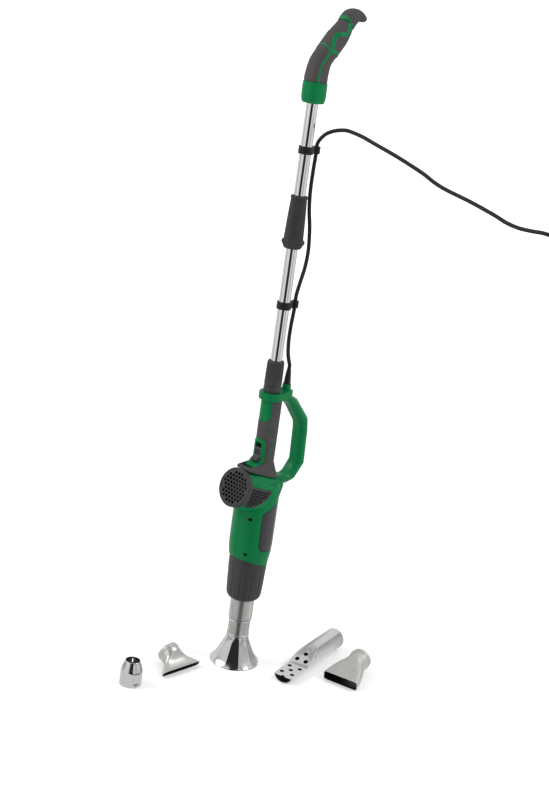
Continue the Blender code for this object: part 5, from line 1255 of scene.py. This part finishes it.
handle = {"collarTop": 0.9880, "soft": 0.0022, "power": 2.4, "capLean": 38, "ribDepth": 0.00045,
          "sections": [
    (0.0005, 0.9560, 0, 0.0160, 0.0148), (0.0004, 0.9572, 0, 0.0172, 0.0158),
    (0.0002, 0.9620, 0, 0.0186, 0.0171), (0.0001, 0.9660, 1, 0.0190, 0.0175),
    (-0.0002, 0.9810, 2, 0.0190, 0.0176), (0.0000, 0.9880, 3, 0.0187, 0.0175),
    (0.0005, 1.0000, 6, 0.0180, 0.0172), (0.0050, 1.0190, 20, 0.0168, 0.0170),
    (0.0120, 1.0290, 30, 0.0165, 0.0170), (0.0215, 1.0400, 34, 0.0168, 0.0172),
    (0.0355, 1.0568, 36, 0.0168, 0.0168), (0.0440, 1.0680, 36, 0.0150, 0.0155),
    (0.0500, 1.0768, 38, 0.0126, 0.0140)], "cap": [
    (0.0502, 1.0771, 38, 0.0128, 0.0142), (0.0550, 1.0840, 46, 0.0130, 0.0145),
    (0.0612, 1.0890, 62, 0.0127, 0.0140), (0.0710, 1.0921, 88, 0.0097, 0.0128),
    (0.0810, 1.0893, 106, 0.0074, 0.0114), (0.0866, 1.0866, 116, 0.0052, 0.0100)]}


def handleRows(sections, shrink, count):
    # each section (Y, Z, lean, half depth, half width) is a rounded oval, (|cos|^p + |sin|^p)^(-1/p) out,
    # leaning back
    angles = ringAngles(count)
    c, s = np.cos(angles), np.sin(angles)
    out = (np.abs(c) ** handle["power"] + np.abs(s) ** handle["power"]) ** (-1 / handle["power"])
    y, z, lean, deep, half = (sections[:, k:k + 1] for k in range(5))
    lean, shrink = np.radians(lean), np.broadcast_to(shrink, (len(sections), count))
    forward = (deep - shrink) * out * s
    return np.stack([(half - shrink) * out * c, y + np.cos(lean) * forward, z - np.sin(lean) * forward],
                    axis=-1)


def evenRows(sections, count):
    # the sections as a smooth row of equally spaced ones along the middle line
    fine = smoothLine(sections, 12)
    along = np.concatenate([[0], np.cumsum(np.hypot(np.diff(fine[:, 0]), np.diff(fine[:, 1])))])
    even = np.linspace(0, along[-1], count)
    return np.stack([np.interp(even, along, fine[:, k]) for k in range(5)], axis=1)


whole = evenRows(handle["sections"], 300)
split = int(np.searchsorted(whole[:, 1], handle["collarTop"]))
under = handle["soft"] + gap
coreRows = np.concatenate([handleRows(whole[:split], 0, 96), handleRows(whole[split - 1:split], under, 96),
                           handleRows(whole[split::6], under, 96)])
handleCore = skin("handle_core_green", coreRows, greenAbs)
combine(handleCore, rod("handle bore", tubeSeat, 0.94, tube["upperTop"] + gap, greenAbs), "DIFFERENCE")
standsFor(handleCore, "gun", "green_plastic", "handle_core")

# the lines on each flank as (X, Y, Z, half width), the same on both sides
flankLines = [
    [(0.0157, -0.0108, 0.9754, 0.0019), (0.0156, -0.0107, 0.9855, 0.0018), (0.0151, -0.0106, 0.9971, 0.0018),
     (0.0146, -0.0090, 1.0090, 0.0018), (0.0151, -0.0051, 1.0186, 0.0019), (0.0157, 0.0, 1.0263, 0.0021),
     (0.0159, 0.0081, 1.0360, 0.0025)],
    [(0.0159, 0.0081, 1.0360, 0.0025), (0.0121, 0.0057, 1.0417, 0.0021), (0.0048, 0.0050, 1.0458, 0.0018),
     (0.0, 0.0055, 1.0475, 0.0016)],
    [(0.0159, 0.0081, 1.0360, 0.0025), (0.0156, 0.0120, 1.0422, 0.0029), (0.0131, 0.0132, 1.0493, 0.0034),
     (0.0108, 0.0192, 1.0594, 0.0036), (0.0122, 0.0244, 1.0637, 0.0035), (0.0154, 0.0300, 1.0630, 0.0033),
     (0.0164, 0.0371, 1.0626, 0.0034), (0.0154, 0.0435, 1.0691, 0.0038), (0.0138, 0.0456, 1.0777, 0.0040)],
    [(0.0159, 0.0081, 1.0360, 0.0025), (0.0172, 0.0190, 1.0358, 0.0026), (0.0129, 0.0282, 1.0289, 0.0022)]]


def lineCover(points):
    # 1 on a line and 0 off it: (half width - distance to the nearest stretch) / width of the step
    cover = np.full(points.shape[:-1], -1.0)
    flank = np.concatenate([np.abs(points[..., :1]), points[..., 1:]], axis=-1)
    for path in flankLines:
        for (*a, wideA), (*b, wideB) in zip(path[:-1], path[1:]):
            a, b = np.array(a), np.array(b)
            t = np.clip(((flank - a) @ (b - a)) / ((b - a) @ (b - a)), 0, 1)
            distance = np.linalg.norm(flank - a - t[..., None] * (b - a), axis=-1)
            cover = np.maximum(cover, (wideA + t * (wideB - wideA) - distance) / 0.0008 + 0.5)
    return np.clip(cover, 0, 1)


softRows = whole[split:]
across = 260
skinRows = handleRows(softRows, 0.0, across)
cover = lineCover(skinRows)
edgeDip = np.exp(-np.arange(len(softRows)) / 2.0)[:, None] * 0.0005
skinRows = handleRows(softRows, 0.0007 * (1 - cover) + edgeDip, across)
handleGrip = skin("handle_grip_soft", [*skinRows, *handleRows(softRows[::-12], handle["soft"], across),
                                       handleRows(softRows[:1], handle["soft"], across)[0]], lineTpe,
                  closed=True)


def markLines(obj, cover):
    # the attribute holds cover on the first points of the mesh, which are its outer ones, and 0 on the rest
    shade = np.zeros(len(obj.data.vertices), np.float32)
    shade[:cover.size] = cover.ravel()
    obj.data.attributes.new("greenLine", "FLOAT", "POINT").data.foreach_set("value", shade)


markLines(handleGrip, cover)
standsFor(handleGrip, "gun", "soft_grip", "handle_grip")

capRows = evenRows(handle["cap"], 90)[:-1]
capRows[:, 0] += math.sin(math.radians(handle["capLean"])) * gap
capRows[:, 1] += math.cos(math.radians(handle["capLean"])) * gap
steps = np.arange(len(capRows))
ribs = handle["ribDepth"] * (1 - np.cos(steps * 2 * math.pi / 7.0)) / 2 * (steps > 12) * (steps < 84)
capGrid = handleRows(capRows, ribs[:, None], 120)
endCap = skin("handle_end_cap_ribbed", capGrid, lineTpe)
angles = ringAngles(120)
markLines(endCap, np.clip(1.5 - (steps[:, None] - 2 - 9 * np.clip(-np.sin(angles), 0, 1) ** 2) / 1.5, 0, 1))
standsFor(endCap, "gun", "black_plastic", "handle_end_cap")
print("top handle made")

# ---- what stays as the frame has it, in its own material

for material, nodes in ((blackNylon, ("pole_socket", "motor_mount", "fan_impeller", "switch_body")),
                        (platedSteel, ("motor", "fan_shaft", "thermal_cutout", "tube_joiner")),
                        (boardLacquer, ("control_board",))):
    for node in nodes:
        dressNode(node, material)
print("inner pieces dressed")

# ---- floor, backdrop, lamps and world

floorMesh = bpy.data.meshes.new("floor")
floorMesh.from_pydata([(-60, -60, 0), (60, -60, 0), (60, 60, 0), (-60, 60, 0)], [], [(0, 1, 2, 3)])
floor = newObject("floor", floorMesh)
# a pale sheet with a low sheen, which glows more the further it is, so that no horizon shows
floorLook = {"colour": "#f6f6f6", "roughness": 0.22, "ior": 1.25, "near": 1.2, "far": 4.0, "glowNear": 0.14,
             "glowFar": 0.6, "mirrored": 0.92}
paleFloor, tree = newMaterial("pale studio floor")
path = addNode(tree, "ShaderNodeLightPath")
onFloor = addNode(tree, "ShaderNodeTexCoord").outputs["Object"]
matte = addNode(tree, "ShaderNodeBsdfPrincipled", {
    "Base Color": linear(floorLook["colour"]), "Roughness": floorLook["roughness"], "IOR": floorLook["ior"]})
farness = addNode(tree, "ShaderNodeVectorMath", {0: onFloor}, operation="LENGTH")
glowLevel = addNode(tree, "ShaderNodeMapRange", {
    0: farness.outputs["Value"], 1: floorLook["near"], 2: floorLook["far"], 3: floorLook["glowNear"],
    4: floorLook["glowFar"]})
glow = addNode(tree, "ShaderNodeEmission", {"Color": (1, 1, 1, 1), "Strength": glowLevel.outputs[0]})
both = addNode(tree, "ShaderNodeAddShader")
tree.links.new(matte.outputs[0], both.inputs[0])
tree.links.new(glow.outputs[0], both.inputs[1])
room = {"light": 0.72, "darkToward": 42.0, "darkHalfWidth": 21.0, "darkLevel": 0.03, "bands": 5,
        "bandPhase": 1.1, "bandLevel": 0.55}
darkWay = (math.sin(math.radians(room["darkToward"])), -math.cos(math.radians(room["darkToward"])), 0.0)


def roomLevel(tree, direction):
    # how bright the room is in a level direction: nearly black round one bearing, soft grey bands elsewhere
    split = addNode(tree, "ShaderNodeSeparateXYZ", {0: direction})
    level = addNode(tree, "ShaderNodeCombineXYZ", {0: split.outputs[0], 1: split.outputs[1]})
    unit = addNode(tree, "ShaderNodeVectorMath", {0: level.outputs[0]}, operation="NORMALIZE")
    bearing = addNode(tree, "ShaderNodeVectorMath", {0: unit.outputs[0], 1: darkWay}, operation="DOT_PRODUCT")
    edge = room["darkHalfWidth"]
    dark = addNode(tree, "ShaderNodeMapRange", {
        0: bearing.outputs["Value"], 1: math.cos(math.radians(edge + 4)),
        2: math.cos(math.radians(edge - 4)), 3: 1.0, 4: room["darkLevel"]})
    turnedBy = addNode(tree, "ShaderNodeMath", {0: split.outputs[1], 1: split.outputs[0]},
                       operation="ARCTAN2")
    phase = addNode(tree, "ShaderNodeMath", {0: turnedBy.outputs[0], 1: float(room["bands"]),
                                             2: room["bandPhase"]}, operation="MULTIPLY_ADD")
    wave = addNode(tree, "ShaderNodeMath", {0: phase.outputs[0]}, operation="SINE")
    bands = addNode(tree, "ShaderNodeMapRange", {0: wave.outputs[0], 1: 0.35, 2: 0.95, 3: 1.0,
                                                 4: room["bandLevel"]})
    return addNode(tree, "ShaderNodeMath", {0: dark.outputs[0], 1: bands.outputs[0]},
                   operation="MULTIPLY").outputs[0]


# to metal the floor is the room again, a little dimmer
fromGun = addNode(tree, "ShaderNodeVectorMath", {0: onFloor, 1: tuple(-gunAxis)}, operation="ADD")
mirrored = addNode(tree, "ShaderNodeMath", {
    0: roomLevel(tree, fromGun.outputs[0]), 1: floorLook["mirrored"]}, operation="MULTIPLY")
white = addNode(tree, "ShaderNodeEmission", {"Color": (1, 1, 1, 1), "Strength": mirrored.outputs[0]})
seen = addNode(tree, "ShaderNodeMath", {0: path.outputs["Is Glossy Ray"],
                                        1: path.outputs["Is Transmission Ray"]}, operation="MAXIMUM")
choice = addNode(tree, "ShaderNodeMixShader", {0: seen.outputs[0]})
tree.links.new(both.outputs[0], choice.inputs[1])
tree.links.new(white.outputs[0], choice.inputs[2])
showSurface(tree, choice)
floorMesh.materials.append(paleFloor)

# white to the camera, an even light on the object, and to metal a white room with one dark opening
world = bpy.data.worlds.new("studio")
bpy.context.scene.world = world
world.use_nodes = True
tree = world.node_tree
tree.nodes.clear()
path = addNode(tree, "ShaderNodeLightPath")
dark = roomLevel(tree, addNode(tree, "ShaderNodeTexCoord").outputs["Generated"])
seenInMetal = addNode(tree, "ShaderNodeBackground", {"Color": (1, 1, 1, 1), "Strength": dark})
toCamera = addNode(tree, "ShaderNodeBackground", {"Color": (1, 1, 1, 1), "Strength": 1.0})
lighting = addNode(tree, "ShaderNodeBackground", {"Color": (1, 1, 1, 1), "Strength": room["light"]})
forMetal = addNode(tree, "ShaderNodeMixShader", {0: path.outputs["Is Glossy Ray"]})
tree.links.new(lighting.outputs[0], forMetal.inputs[1])
tree.links.new(seenInMetal.outputs[0], forMetal.inputs[2])
straight = addNode(tree, "ShaderNodeMath", {0: path.outputs["Is Camera Ray"],
                                            1: path.outputs["Is Transmission Ray"]}, operation="MAXIMUM")
forCamera = addNode(tree, "ShaderNodeMixShader", {0: straight.outputs[0]})
tree.links.new(forMetal.outputs[0], forCamera.inputs[1])
tree.links.new(toCamera.outputs[0], forCamera.inputs[2])
addNode(tree, "ShaderNodeOutputWorld", {"Surface": forCamera.outputs[0]})


def softBox(name, at, size, watts):
    lampData = bpy.data.lights.new(name, "AREA")
    lampData.shape, lampData.size, lampData.energy = "SQUARE", size, watts
    lamp = newObject(name, lampData)
    lamp.location = Vector(at)
    lamp.rotation_mode = "QUATERNION"
    lamp.rotation_quaternion = (Vector((0, 0, 0.4)) - Vector(at)).to_track_quat("-Z", "Y")


softBox("soft box left", (-2.2, -2.4, 3.0), 1.6, 70)
softBox("soft box right", (2.0, 1.5, 3.2), 1.2, 48)

scene = bpy.context.scene
scene.view_settings.view_transform = "Standard"
